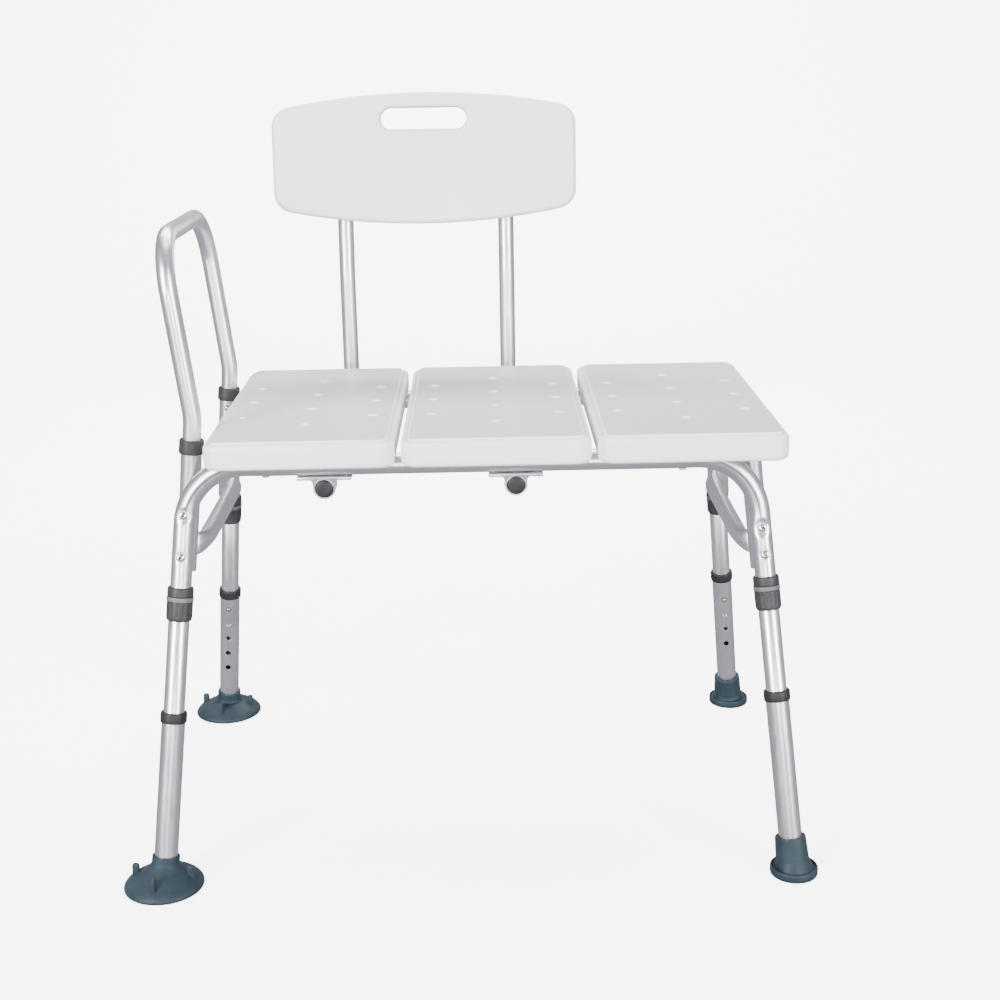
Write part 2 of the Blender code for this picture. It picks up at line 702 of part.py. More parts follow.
for tag, sy in (("front", -1), ("rear", 1)):
    at = Vector((upper_x(-1, BUTTON_Z), sy * SOCKET_Y, BUTTON_Z))
    e = pivot("arm_button_axis_" + tag, at)
    e.parent = arm
    e.location = at - Vector(arm.location)
    bm = plug(at, (0, -sy, 0), REF_X, [(0.0042, 0.0062), (0.0042, 0.0076), (0.0033, 0.0076),
                                       (0.0033, 0.0142), (0.0024, 0.0152)], n=8)
    obj = make("arm_button_" + tag, bm, STEEL, None, origin=at)
    obj.parent = e
    obj.location = (0, 0, 0)

# ------------------------------------------------------------------- backrest
back = pivot("backrest_axis", (XC + PANEL_X, BACK_FRONT, BACK_TUBE_Z))
tilt_up = Vector((0, math.sin(BACK_TILT), math.cos(BACK_TILT)))
tilt_out = Vector((0, -math.cos(BACK_TILT), math.sin(BACK_TILT)))
for tag, bx in (("left", BACK_X[0]), ("right", BACK_X[1])):
    x = XC + bx
    knee = Vector((x, BACK_POST_Y, BACK_KNEE_Z))
    pts = [Vector((x, BACK_FRONT, BACK_TUBE_Z)), Vector((x, BACK_POST_Y, BACK_TUBE_Z)),
           knee, knee + tilt_up * BACK_END]
    path = fillet(pts, [0, BACK_BEND_R, 0.12, 0], seg={1: 7, 2: 2})
    make("back_tube_" + tag, tube(path, R_ARM, R_ARM_IN, REF_X), ALU, back)

for tag, bx in (("left", BACK_X[0]), ("right", BACK_X[1])):
    bm = plug((XC + bx, BACK_FRONT, BACK_TUBE_Z), REF_Y, REF_X,
              [(0.0098, -0.0032), (R_ARM, -0.0022), (R_ARM, -GAP), (0.0094, -GAP),
               (0.0090, 0.012)])
    make("back_tube_cap_" + tag, bm, DARK, back)

# moulded panel in front of the posts
mid = Vector((XC + PANEL_X, BACK_POST_Y, BACK_KNEE_Z)) + tilt_up * PANEL_MID
face0 = mid + tilt_out * (R_ARM + GAP)          # its rear face touches the posts


def back_outline():
    pts, radii = [], []
    steps = 6
    for i in range(steps + 1):
        t = -1 + 2 * i / steps
        pts.append((t * PANEL_HALF_W, -PANEL_HALF_H * (1 - 0.25 * t * t), 0))
        radii.append(0.028 if i in (0, steps) else 0)
    for i in range(steps + 1):
        t = 1 - 2 * i / steps
        pts.append((t * PANEL_HALF_W, PANEL_HALF_H * (1 - 0.25 * t * t), 0))
        radii.append(0.028 if i in (0, steps) else 0)
    return fillet(pts, radii, seg=4, closed=True)


def back_place(u, v, w):
    return face0 + Vector((1, 0, 0)) * u + tilt_up * v + tilt_out * w


layers = [(0.0060, 0.0), (0.0, 0.0060), (0.0, PANEL_T - 0.0080),
          (0.0040, PANEL_T - 0.0025), (0.0110, PANEL_T)]
obj = make("backrest_panel", slab(back_outline(), layers, back_place), WHITE, back)
bm = bmesh.new()
n = 6
pts = []
for end, start in ((1, -math.pi / 2), (-1, math.pi / 2)):
    for i in range(n + 1):
        w = start + math.pi * i / n
        pts.append((end * (SLOT_L - SLOT_H) / 2 + SLOT_H / 2 * math.cos(w),
                    SLOT_V + SLOT_H / 2 * math.sin(w)))
loops = [[bm.verts.new(back_place(u, v, w)) for u, v in pts] for w in (-0.01, PANEL_T + 0.01)]
skin(bm, loops)
cap(bm, loops[0][::-1])
cap(bm, loops[1])
# recess in the back of the moulding between the posts
for u0, u1 in ((-0.100, 0.098),):
    lo = [back_place(u, v, -0.01) for u, v in ((u0, -0.070), (u1, -0.070), (u1, 0.028), (u0, 0.028))]
    hi = [back_place(u, v, PANEL_T - 0.005) for u, v in
          ((u0, -0.070), (u1, -0.070), (u1, 0.028), (u0, 0.028))]
    a = [bm.verts.new(p) for p in lo]
    b = [bm.verts.new(p) for p in hi]
    skin(bm, [a, b])
    cap(bm, a[::-1])
    cap(bm, b)
cut(obj, bm)

bpy.context.view_layer.update()
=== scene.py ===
"""Bath transfer bench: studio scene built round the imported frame."""
import math

import bmesh
import bpy
from mathutils import Matrix, Vector


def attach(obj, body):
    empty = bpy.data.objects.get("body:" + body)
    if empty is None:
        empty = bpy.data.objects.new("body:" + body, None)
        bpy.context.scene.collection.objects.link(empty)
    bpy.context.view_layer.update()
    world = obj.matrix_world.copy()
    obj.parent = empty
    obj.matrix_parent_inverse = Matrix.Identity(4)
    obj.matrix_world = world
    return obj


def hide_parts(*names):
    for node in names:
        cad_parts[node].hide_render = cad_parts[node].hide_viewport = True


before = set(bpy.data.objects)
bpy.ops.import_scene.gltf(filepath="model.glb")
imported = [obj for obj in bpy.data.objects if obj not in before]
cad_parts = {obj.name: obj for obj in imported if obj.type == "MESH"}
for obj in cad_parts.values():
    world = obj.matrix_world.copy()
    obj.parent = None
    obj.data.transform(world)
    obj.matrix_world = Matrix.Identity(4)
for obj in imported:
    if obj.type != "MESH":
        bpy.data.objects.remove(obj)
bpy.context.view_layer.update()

# ------------------------------------------------------------------ dimensions
GAP = 0.0003
R_FRAME, WALL, R_LOWER, R_ARM = 0.0127, 0.0014, 0.0143, 0.0111
R_CUP, R_TIP = 0.0490, 0.0293
XC = (R_CUP - R_TIP) / 2.0
FOOT_X, FOOT_Y = 0.3870, 0.2585
LEAN_X, LEAN_Y = 0.0971, 0.1697
RAIL_Z = 0.5080
RAIL_Y = FOOT_Y - LEAN_Y * RAIL_Z
BEND_R = 0.074
SOCKET_Y = RAIL_Y - 2 * R_FRAME - GAP
SOCKET_KNEE_Z, SOCKET_TOP, SUPPORT_TOP = 0.4780, 0.5330, 0.5090
SOCKET_BOTTOM = {-1: 0.3760, 1: 0.3660}
S_COLLAR = 0.3526
S_CLIP = S_COLLAR + 0.0060
S_UPPER_END = S_COLLAR - 0.010
NECK_LEN = 0.045
R_NECK = R_FRAME - WALL - 0.0004
S_MID_END = 0.118
S_TUBE_LOW = {-1: 0.0120, 1: 0.0247}
LOWER_LEN = 0.2050
S_BUTTON = 0.1900
HOLE_PITCH, HOLE_R = 0.0254, 0.0038
SEAT_W, SEAT_D, SEAT_SHIFT, SEAT_Y0 = 0.688, 0.436, 0.0302, -0.2135
SEAT_TOP, SEAT_THICK = 0.5450, 0.0333
PANEL_GAP, PANEL_CORNER = 0.007, 0.019
DRAIN_COL, DRAIN_PITCH = 0.0793, 0.0831
SEAT_X = XC + SEAT_SHIFT
PANEL_PITCH = (SEAT_W + PANEL_GAP) / 3
PANEL_W = PANEL_PITCH - PANEL_GAP
SEAT_BOTTOM = SEAT_TOP - SEAT_THICK
SEAT_MID_Y = SEAT_Y0 + SEAT_D / 2
BACK_X = (-0.175, 0.053)
BACK_TUBE_Z = RAIL_Z - R_FRAME - R_ARM - 0.0024
BACK_POST_Y, BACK_BEND_R, BACK_KNEE_Z = 0.2665, 0.060, 0.670
BACK_TILT = math.radians(7.0)
BACK_END, BACK_FRONT = 0.205, -0.1860
PANEL_X, PANEL_HALF_W, PANEL_HALF_H = -0.0600, 0.2120, 0.0900
PANEL_T, PANEL_MID = 0.024, 0.1610
SLOT_L, SLOT_H, SLOT_V = 0.120, 0.030, 0.0545
ARM_BOTTOM, ARM_BEND_Z, ARM_LEAN, ARM_TOP_Z, ARM_CORNER_R = 0.4880, 0.5630, 0.114, 0.7740, 0.065
SCREW_Z = {-1: (0.4520, 0.4025), 1: (0.4245, 0.3925)}
LEGS = {"front_left": (-1, -1), "front_right": (1, -1),
        "rear_left": (-1, 1), "rear_right": (1, 1)}
X, Y, Z = Vector((1, 0, 0)), Vector((0, 1, 0)), Vector((0, 0, 1))


# ------------------------------------------------------------------- materials
class Finish:
    """A Principled material with its detail in object coordinates."""

    def __init__(self, name, metallic=0.0, roughness=0.5):
        self.mat = bpy.data.materials.new(name)
        self.mat.use_nodes = True
        self.nt = self.mat.node_tree
        self.bsdf = self.nt.nodes["Principled BSDF"]
        self.bsdf.inputs["Metallic"].default_value = metallic
        self.bsdf.inputs["Roughness"].default_value = roughness
        self.coord = self.nt.nodes.new("ShaderNodeTexCoord")

    def node(self, kind, **values):
        n = self.nt.nodes.new(kind)
        for key, value in values.items():
            if hasattr(n, key):
                setattr(n, key, value)
            else:
                n.inputs[key.replace("_", " ")].default_value = value
        return n

    def link(self, a, b):
        self.nt.links.new(a, b)

    def noise(self, scale, detail=3.0, rough=0.55, stretch=(1, 1, 1)):
        m = self.node("ShaderNodeMapping")
        m.inputs["Scale"].default_value = stretch
        self.link(self.coord.outputs["Object"], m.inputs["Vector"])
        n = self.node("ShaderNodeTexNoise", Scale=scale, Detail=detail, Roughness=rough)
        self.link(m.outputs["Vector"], n.inputs["Vector"])
        return n.outputs["Fac"]

    def cells(self, scale):
        n = self.node("ShaderNodeTexVoronoi", Scale=scale)
        self.link(self.coord.outputs["Object"], n.inputs["Vector"])
        return n.outputs["Distance"]

    def ramp(self, fac, stops):
        r = self.node("ShaderNodeValToRGB")
        els = r.color_ramp.elements
        while len(els) < len(stops):
            els.new(0.5)
        for el, (pos, col) in zip(els, stops):
            el.position = pos
            el.color = (*col, 1.0)
        self.link(fac, r.inputs["Fac"])
        return r.outputs["Color"]

    def span(self, fac, lo, hi, a=0.0, b=1.0):
        m = self.node("ShaderNodeMapRange")
        m.inputs["From Min"].default_value = lo
        m.inputs["From Max"].default_value = hi
        m.inputs["To Min"].default_value = a
        m.inputs["To Max"].default_value = b
        self.link(fac, m.inputs["Value"])
        return m.outputs["Result"]

    def mix(self, fac, a, b, kind="MIX"):
        m = self.nt.nodes.new("ShaderNodeMix")
        m.data_type = "RGBA"
        m.blend_type = kind
        if isinstance(fac, float):
            m.inputs[0].default_value = fac
        else:
            self.link(fac, m.inputs[0])
        for sock, value in ((m.inputs[6], a), (m.inputs[7], b)):
            if isinstance(value, tuple):
                sock.default_value = (*value, 1.0)
            else:
                self.link(value, sock)
        return m.outputs[2]

    def colour(self, out):
        self.link(out, self.bsdf.inputs["Base Color"])

    def rough(self, out):
        self.link(out, self.bsdf.inputs["Roughness"])

    def bumps(self, *layers):
        """Each layer is (height output, distance in metres, strength)."""
        last = None
        for height, distance, strength in layers:
            b = self.node("ShaderNodeBump", Distance=distance, Strength=strength)
            self.link(height, b.inputs["Height"])
            if last is not None:
                self.link(last, b.inputs["Normal"])
            last = b.outputs["Normal"]
        self.link(last, self.bsdf.inputs["Normal"])


def aluminium(name, along, tone=1.0):
    """Satin anodised tube: fine drawn lines along the tube, faint blotches
    and a few soft scuffs."""
    f = Finish(name, metallic=1.0, roughness=0.32)
    s = [1.0, 1.0, 1.0]
    s[along] = 0.03
    lines = f.noise(900.0, 2.0, 0.6, s)
    s2 = [1.0, 1.0, 1.0]
    s2[along] = 0.12
    streaks = f.noise(130.0, 4.0, 0.6, s2)
    blot = f.noise(14.0, 3.0)
    scuff = f.noise(60.0, 6.0, 0.75)
    base = f.ramp(blot, [(0.30, (0.680 * tone, 0.680 * tone, 0.712 * tone)),
                         (0.52, (0.745 * tone, 0.745 * tone, 0.772 * tone)),
                         (0.74, (0.785 * tone, 0.785 * tone, 0.806 * tone))])
    marks = f.span(scuff, 0.64, 0.72)
    base = f.mix(f.span(streaks, 0.35, 0.70, 0.0, 0.16), base, (0.60 * tone, 0.60 * tone, 0.63 * tone))
    base = f.mix(f.span(marks, 0.0, 1.0, 0.0, 0.22), base, (0.86 * tone, 0.86 * tone, 0.87 * tone))
    f.colour(base)
    f.rough(f.span(streaks, 0.30, 0.75, 0.27, 0.40))
    f.bumps((lines, 0.00002, 0.35), (f.noise(45.0, 2.0), 0.00025, 0.10))
    return f.mat


def zinc(name, tone=1.0):
    """Bright plated fastener: small scratches and duller plating in places."""
    f = Finish(name, metallic=1.0, roughness=0.18)
    worn = f.noise(420.0, 4.0, 0.7)
    f.colour(f.ramp(worn, [(0.30, (0.50 * tone, 0.50 * tone, 0.52 * tone)),
                           (0.55, (0.74 * tone, 0.74 * tone, 0.75 * tone)),
                           (0.80, (0.85 * tone, 0.85 * tone, 0.86 * tone))]))
    f.rough(f.span(worn, 0.3, 0.7, 0.14, 0.30))
    f.bumps((f.noise(1800.0, 3.0), 0.00002, 0.35))
    return f.mat


def copper(name):
    f = Finish(name, metallic=1.0, roughness=0.28)
    worn = f.noise(500.0, 4.0, 0.65)
    f.colour(f.ramp(worn, [(0.30, (0.38, 0.24, 0.15)), (0.55, (0.66, 0.45, 0.29)),
                           (0.80, (0.80, 0.62, 0.44))]))
    f.rough(f.span(worn, 0.3, 0.7, 0.22, 0.42))
    f.bumps((f.noise(1500.0, 3.0), 0.00003, 0.3))
    return f.mat


def moulded_white(name, painted_top_shade=False):
    """Blow-moulded polyethylene: slow waviness of the wall, fine satin grain,
    a slight warm and cool drift and a few pale rub marks.  With the top option,
    faces that point straight up get painted shade: their colour is darkened,
    which leaves the rounded edges and drain dimples lighter, a painted highlight."""
    f = Finish(name, roughness=0.42)
    drift = f.noise(7.0, 3.0, 0.5)
    base = f.ramp(drift, [(0.28, (0.850, 0.834, 0.812)), (0.50, (0.885, 0.872, 0.854)),
                          (0.74, (0.905, 0.896, 0.882))])
    speck = f.noise(260.0, 3.0, 0.6)
    base = f.mix(f.span(speck, 0.60, 0.72, 0.0, 0.10), base, (0.66, 0.65, 0.63))
    rub = f.noise(34.0, 7.0, 0.72, (1.0, 0.35, 1.0))
    base = f.mix(f.span(rub, 0.62, 0.72, 0.0, 0.16), base, (0.93, 0.925, 0.915))
    if painted_top_shade:
        # painted shade: the colour of faces that point straight up is darkened
        split = f.node("ShaderNodeSeparateXYZ")
        f.link(f.coord.outputs["Normal"], split.inputs["Vector"])
        level = f.span(split.outputs["Z"], 0.955, 0.996, 0.0, 0.72)
        base = f.mix(level, base, (0.560, 0.550, 0.540))
    f.colour(base)
    f.rough(f.span(f.noise(48.0, 5.0, 0.65), 0.3, 0.7, 0.34, 0.50))
    f.bumps((f.noise(1100.0, 2.0), 0.00004, 0.28), (f.noise(16.0, 2.0), 0.0006, 0.10))
    f.bsdf.inputs["Subsurface Weight"].default_value = 0.06
    f.bsdf.inputs["Subsurface Scale"].default_value = 0.01
    return f.mat


def nylon(name, col, grain=0.30):
    """Moulded nylon or acetal with a spark-eroded grain, mottling and pale dust flecks."""
    f = Finish(name, roughness=0.45)
    mott = f.noise(55.0, 4.0, 0.6)
    lo = tuple(c * 0.82 for c in col)
    hi = tuple(min(1.0, c * 1.22 + 0.004) for c in col)
    base = f.ramp(mott, [(0.30, lo), (0.52, col), (0.76, hi)])
    dust = f.noise(240.0, 5.0, 0.7)
    base = f.mix(f.span(dust, 0.62, 0.74, 0.0, 0.18), base, tuple(min(1.0, c * 1.9 + 0.012) for c in col))
    f.bsdf.inputs["Specular IOR Level"].default_value = 0.30
    f.colour(base)
    f.rough(f.span(dust, 0.3, 0.7, 0.38, 0.56))
    f.bumps((f.noise(2200.0, 2.0), 0.00003, grain), (f.noise(90.0, 2.0), 0.0002, 0.08))
    return f.mat


def rubber(name):
    """Slate blue rubber: matt, faintly pitted, with pale handling dust."""
    f = Finish(name, roughness=0.58)
    mott = f.noise(38.0, 4.0, 0.6)
    base = f.ramp(mott, [(0.28, (0.006, 0.016, 0.024)), (0.52, (0.009, 0.022, 0.032)),
                         (0.76, (0.014, 0.030, 0.041))])
    dust = f.noise(120.0, 6.0, 0.7)
    base = f.mix(f.span(dust, 0.56, 0.74, 0.0, 0.16), base, (0.050, 0.074, 0.088))
    f.bsdf.inputs["Specular IOR Level"].default_value = 0.30
    f.colour(base)
    f.rough(f.span(dust, 0.3, 0.7, 0.48, 0.68))
    f.bumps((f.noise(1300.0, 2.0), 0.00005, 0.35), (f.cells(420.0), 0.00006, 0.12),
            (f.noise(30.0, 2.0), 0.0004, 0.10))
    f.bsdf.inputs["Sheen Weight"].default_value = 0.05
    f.bsdf.inputs["Sheen Roughness"].default_value = 0.5
    return f.mat


ALU_X = aluminium("aluminium_drawn_x", 0)
ALU_Y = aluminium("aluminium_drawn_y", 1)
ALU_Z = aluminium("aluminium_drawn_z", 2)
ALU_LOW = aluminium("aluminium_extension", 2, 0.94)
PLATE = aluminium("aluminium_plate", 0, 0.98)
STEEL = zinc("zinc_plated_steel")
# near-black copy of the plated steel: painted shade for the screws' cross recesses
PAINTED_RECESS_SHADE = zinc("zinc_painted_recess_shade", 0.10)
BRASS = copper("copper_plated_clip")
WHITE = moulded_white("moulded_polyethylene")
# seat mouldings: this copy paints shade on the level top faces
WHITE_SEAT = moulded_white("moulded_polyethylene_painted_top_shade", True)
DARK = nylon("nylon_dark_grey", (0.013, 0.0135, 0.0155))
COLLAR_GREY = nylon("nylon_collar_grey", (0.030, 0.030, 0.033))
LIGHT = nylon("acetal_mid_grey", (0.120, 0.120, 0.128), 0.2)
RUBBER = rubber("rubber_slate")


# --------------------------------------------------------------- mesh building
def basis(tangent, ref):
    t = Vector(tangent).normalized()
    a = Vector(ref) - t * Vector(ref).dot(t)
    a.normalize()
    return t, a, t.cross(a)


def loop(bm, centre, axis, ref, ra, rb=None, n=48, shape=None):
    rb = ra if rb is None else rb
    _, a, b = basis(axis, ref)
    out = []
    for i in range(n):
        w = 2 * math.pi * i / n
        k = shape(w) if shape else 0.0
        out.append(bm.verts.new(Vector(centre) + a * ((ra + k) * math.cos(w))
                                + b * ((rb + k) * math.sin(w))))
    return out


def skin(bm, loops, closed=False):
    pairs = list(zip(loops, loops[1:]))
    if closed:
        pairs.append((loops[-1], loops[0]))
    for lo, hi in pairs:
        n = len(lo)
        for i in range(n):
            j = (i + 1) % n
            bm.faces.new((lo[i], lo[j], hi[j], hi[i]))


def fillet(points, radii, seg=6, closed=False):
    pts = [Vector(p) for p in points]
    out = []
    n = len(pts)
    for i, p in enumerate(pts):
        r = radii[i] if not isinstance(radii, float) else radii
        if r <= 0 or (not closed and i in (0, n - 1)):
            out.append(p)
            continue
        a = (pts[i - 1] - p).normalized()
        b = (pts[(i + 1) % n] - p).normalized()
        ang = a.angle(b)
        if abs(ang - math.pi) < 1e-4:
            out.append(p)
            continue
        reach = r / math.tan(ang / 2)
        centre = p + (a + b).normalized() * (r / math.sin(ang / 2))
        v0 = p + a * reach - centre
        v1 = p + b * reach - centre
        steps = seg if isinstance(seg, int) else seg[i]
        total = v0.angle(v1)
        axis = v0.cross(v1).normalized()
        for k in range(steps + 1):
            out.append(centre + Matrix.Rotation(total * k / steps, 3, axis) @ v0)
    return out


def dense(path, step):
    """Extra points so that no stretch is longer than step(point)."""
    out = [path[0]]
    for a, b in zip(path, path[1:]):
        want = step((a + b) / 2)
        k = max(1, math.ceil((b - a).length / want - 1e-6))
        out += [a.lerp(b, i / k) for i in range(1, k + 1)]
    return out


def tangents(path):
    out = []
    for i in range(len(path)):
        if i == 0:
            t = path[1] - path[0]
        elif i == len(path) - 1:
            t = path[-1] - path[-2]
        else:
            t = (path[i] - path[i - 1]).normalized() + (path[i + 1] - path[i]).normalized()
        out.append(t.normalized())
    return out


def swept(path, r_out, r_in, ref, n=56, edge=0.0005, push=None):
    """Tube with softened end edges.  push(point, outward, tangent) is how far
    the wall is pressed inwards there."""
    bm = bmesh.new()
    tans = tangents(path)

    def row(p, t, r, pressed=True):
        _, a, b = basis(t, ref)
        out = []
        for i in range(n):
            w = 2 * math.pi * i / n
            d = a * math.cos(w) + b * math.sin(w)
            k = push(p + d * r_out, d, t, p) if (push and pressed) else 0.0
            out.append(bm.verts.new(p + d * (r - k)))
        return out

    rows = []
    last = len(path) - 1
    for i, (p, t) in enumerate(zip(path, tans)):
        if i == 0:
            rows.append(row(p, t, r_out - edge))
            rows.append(row(p + t * (edge * 0.35), t, r_out - edge * 0.3))
            rows.append(row(p + t * edge, t, r_out))
        elif i == last:
            rows.append(row(p - t * edge, t, r_out))
            rows.append(row(p - t * (edge * 0.35), t, r_out - edge * 0.3))
            rows.append(row(p, t, r_out - edge))
        else:
            rows.append(row(p, t, r_out))
    for p, t in list(zip(path, tans))[::-1]:
        rows.append(row(p, t, r_in))
    skin(bm, rows, closed=True)
    return bm


def turned(at, axis, ref, profile, n=64, bore=True, shape=None, bm=None):
    """Turned piece; profile is (radius, station) round the section.  shape is
    a function of (angle, radius, station) added to the radius."""
    bm = bm or bmesh.new()
    t = Vector(axis).normalized()
    rows = []
    for r, s in profile:
        fn = (lambda w, r=r, s=s: shape(w, r, s)) if shape else None
        rows.append(loop(bm, Vector(at) + t * s, t, ref, r, n=n, shape=fn))
    skin(bm, rows, closed=bore)
    if not bore:
        bm.faces.new(rows[0][::-1])
        bm.faces.new(rows[-1])
    return bm


def soft(profile, r, seg=3, closed=True):
    """Profile with its corners rounded."""
    pts = [Vector((a, b, 0)) for a, b in profile]
    n = len(pts)
    radii = []
    for i in range(n):
        if not closed and i in (0, n - 1):
            radii.append(0.0)
            continue
        l0 = (pts[i] - pts[i - 1]).length
        l1 = (pts[(i + 1) % n] - pts[i]).length
        a = (pts[i - 1] - pts[i]).normalized()
        b = (pts[(i + 1) % n] - pts[i]).normalized()
        ang = a.angle(b)
        room = 0.45 * min(l0, l1) * math.tan(ang / 2)
        radii.append(min(r, room) if ang < math.pi - 0.15 else 0.0)
    return [(p.x, p.y) for p in fillet(pts, radii, seg, closed)]


def inset(points, d):
    n = len(points)
    area = sum(points[i][0] * points[(i + 1) % n][1]
               - points[(i + 1) % n][0] * points[i][1] for i in range(n))
    side = 1.0 if area > 0 else -1.0
    out = []
    for i in range(n):
        p0, p1, p2 = (Vector(points[j % n][:2]) for j in (i - 1, i, i + 1))
        e0, e1 = (p1 - p0).normalized(), (p2 - p1).normalized()
        n0 = Vector((-e0.y, e0.x)) * side
        n1 = Vector((-e1.y, e1.x)) * side
        m = (n0 + n1).normalized()
        out.append(p1 + m * (d / max(0.3, m.dot(n0))))
    return out


def slab(outline, layers, place):
    bm = bmesh.new()
    rows = []
    for d, h in layers:
        pts = inset(outline, d) if d else [Vector(p[:2]) for p in outline]
        rows.append([bm.verts.new(place(p.x, p.y, h)) for p in pts])
    skin(bm, rows)
    bm.faces.new(rows[0][::-1])
    bm.faces.new(rows[-1])
    return bm


def box(bm, lo, hi):
    xs, ys, zs = zip(lo, hi)
    v = [bm.verts.new((x, y, z)) for z in zs for y in ys for x in xs]
    for f in ((0, 2, 3, 1), (4, 5, 7, 6), (0, 1, 5, 4), (2, 6, 7, 3), (0, 4, 6, 2), (1, 3, 7, 5)):
        bm.faces.new([v[i] for i in f])
    return bm


def prism(bm, pts_a, pts_b):
    a = [bm.verts.new(p) for p in pts_a]
    b = [bm.verts.new(p) for p in pts_b]
    skin(bm, [a, b])
    bm.faces.new(a[::-1])
    bm.faces.new(b)
    return bm


def to_object(name, bm):
    bmesh.ops.remove_doubles(bm, verts=bm.verts, dist=1e-7)
    bmesh.ops.recalc_face_normals(bm, faces=bm.faces)
    mesh = bpy.data.meshes.new(name)
    bm.to_mesh(mesh)
    bm.free()
    obj = bpy.data.objects.new(name, mesh)
    bpy.context.collection.objects.link(obj)
    return obj


def bake(obj):
    """Puts the object's modifiers into its mesh."""
    bpy.context.view_layer.update()
    deps = bpy.context.evaluated_depsgraph_get()
    new = bpy.data.meshes.new_from_object(obj.evaluated_get(deps))
    obj.modifiers.clear()
    old = obj.data
    obj.data = new
    bpy.data.meshes.remove(old)


def boolean(obj, bm_tool, operation="DIFFERENCE"):
    tool = to_object("tool", bm_tool)
    mod = obj.modifiers.new("cut", "BOOLEAN")
    mod.operation = operation
    mod.solver = "EXACT"
    mod.object = tool
    bake(obj)
    mesh = tool.data
    bpy.data.objects.remove(tool, do_unlink=True)
    bpy.data.meshes.remove(mesh)
    return obj


def finish_piece(obj, mat, body, replaces=(), sharp=42.0, bevel=None, weighted=False,
                 dark=None):
    mesh = obj.data
    mesh.materials.clear()
    mesh.materials.append(mat)
    # dark is (material, test): faces passing the test get that material, used for the painted recess shade
    if dark:
        mesh.materials.append(dark[0])
        for face in mesh.polygons:
            face.material_index = 1 if dark[1](face.center, face.normal) else 0
    if bevel:
        mod = obj.modifiers.new("bevel", "BEVEL")
        mod.width = bevel
        mod.segments = 2
        mod.limit_method = "ANGLE"
        mod.angle_limit = math.radians(35)
        bake(obj)
    obj.data.shade_smooth()
    obj.data.set_sharp_from_angle(angle=math.radians(sharp))
    if weighted:
        mod = obj.modifiers.new("normals", "WEIGHTED_NORMAL")
        mod.keep_sharp = True
        mod.weight = 80
        bake(obj)
    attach(obj, body)
    if replaces:
        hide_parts(*replaces)
    return obj


def smooth01(x):
    x = max(0.0, min(1.0, x))
    return x * x * (3 - 2 * x)


# ------------------------------------------------------------------- leg lines
def leg_axis(sx, sy):
    return (Vector((XC + sx * FOOT_X, sy * FOOT_Y, 0.0)),
            Vector((-sx * LEAN_X, -sy * LEAN_Y, 1.0)).normalized())


def leg_at(sx, sy, s):
    foot, up = leg_axis(sx, sy)
    return foot + up * s


def upper_x(sx, z):
    return XC + sx * (FOOT_X - LEAN_X * z)


def inward_dir(sx, sy):
    _, up = leg_axis(sx, sy)
    _, a, _ = basis(up, Y)
    return a * (-sy)


def screw_line(sx, sy, z):
    _, up = leg_axis(sx, sy)
    return leg_at(sx, sy, z / up.z), inward_dir(sx, sy)


def socket_y(z):
    return SOCKET_Y + max(0.0, SOCKET_KNEE_Z - z) * LEAN_Y


# ----------------------------------------------------------------------- rails
def rail(sy):
    pts = [leg_at(-1, sy, S_UPPER_END),
           Vector((upper_x(-1, RAIL_Z), sy * RAIL_Y, RAIL_Z)),
           Vector((upper_x(1, RAIL_Z), sy * RAIL_Y, RAIL_Z)),
           leg_at(1, sy, S_UPPER_END)]
    path = fillet(pts, [0, BEND_R, BEND_R, 0], seg=30)
    path = dense(path, lambda p: 0.0020 if p.z < RAIL_Z - 0.012 else 0.012)
    corner = abs(upper_x(1, RAIL_Z) - XC)
    lines = []
    for sx in (-1, 1):
        for i, z in enumerate(SCREW_Z[sx]):
            at, inward = screw_line(sx, sy, z)
            deep, wide = ((0.0017, 0.0085) if sx < 0 else (0.0024, 0.0098)) if i == 0 \
                else (0.0006, 0.0062)
            lines.append((at, inward, deep, wide))

    def push(co, d, t, p):
        sx = -1 if p.x < XC else 1
        out = -inward_dir(sx, sy)
        zu = SCREW_Z[sx][0]
        # pressed band on the inside of the bend, ending above the upper screw
        side = t.cross(out)
        if side.x * sx > 0:
            side = -side
        a = smooth01((p.z - (zu - 0.004)) / 0.022)
        a *= 1.0 - smooth01((corner - 0.074 - abs(p.x - XC)) / 0.030 + 0.4)
        k = 0.0
        if a > 0:
            th = math.degrees(math.atan2(d.dot(side), d.dot(out)))
            k += 0.0021 * a * smooth01((th + 2.0) / 13.0) * (1.0 - smooth01((th - 62.0) / 42.0))
            k -= 0.0003 * a * math.exp(-((th + 9.0) / 8.0) ** 2)
        for at, inward, deep, wide in lines:
            v = co - at
            if v.dot(inward) > 0:
                continue
            dist = (v - inward * v.dot(inward)).length
            if dist < wide * 1.6:
                k += deep * (1.0 - smooth01((dist - wide * 0.45) / (wide * 0.9)))
        return k

    return swept(path, R_FRAME, R_FRAME - WALL, Y, n=72, push=push)


for tag, sy in (("front", -1), ("rear", 1)):
    obj = to_object(tag + "_rail_tube", rail(sy))
    finish_piece(obj, ALU_Z, "frame", [tag + "_rail"], 50)

# --------------------------------------------------------- sockets and supports
for tag, (sx, sy) in LEGS.items():
    top = SOCKET_TOP if sx < 0 else SUPPORT_TOP
    path = fillet([Vector((upper_x(sx, z), sy * socket_y(z), z))
                   for z in (SOCKET_BOTTOM[sx], SOCKET_KNEE_Z, top)], [0, 0.04, 0], seg=10)
    path = dense(path, lambda p: 0.012)
    cad = ("socket_" if sx < 0 else "support_") + tag
    obj = to_object(cad + "_tube", swept(path, R_FRAME, 0.0114, Y, n=64, edge=0.0004))
    if sx < 0:
        boolean(obj, turned((upper_x(sx, 0.5090), sy * SOCKET_Y, 0.5090), (0, -sy, 0), X,
                            [(0.0039, 0.004), (0.0039, 0.0124), (0.0046, 0.0135), (0.0046, 0.02)],
                            n=28, bore=False))
    finish_piece(obj, ALU_Z, "frame", [cad], 35)

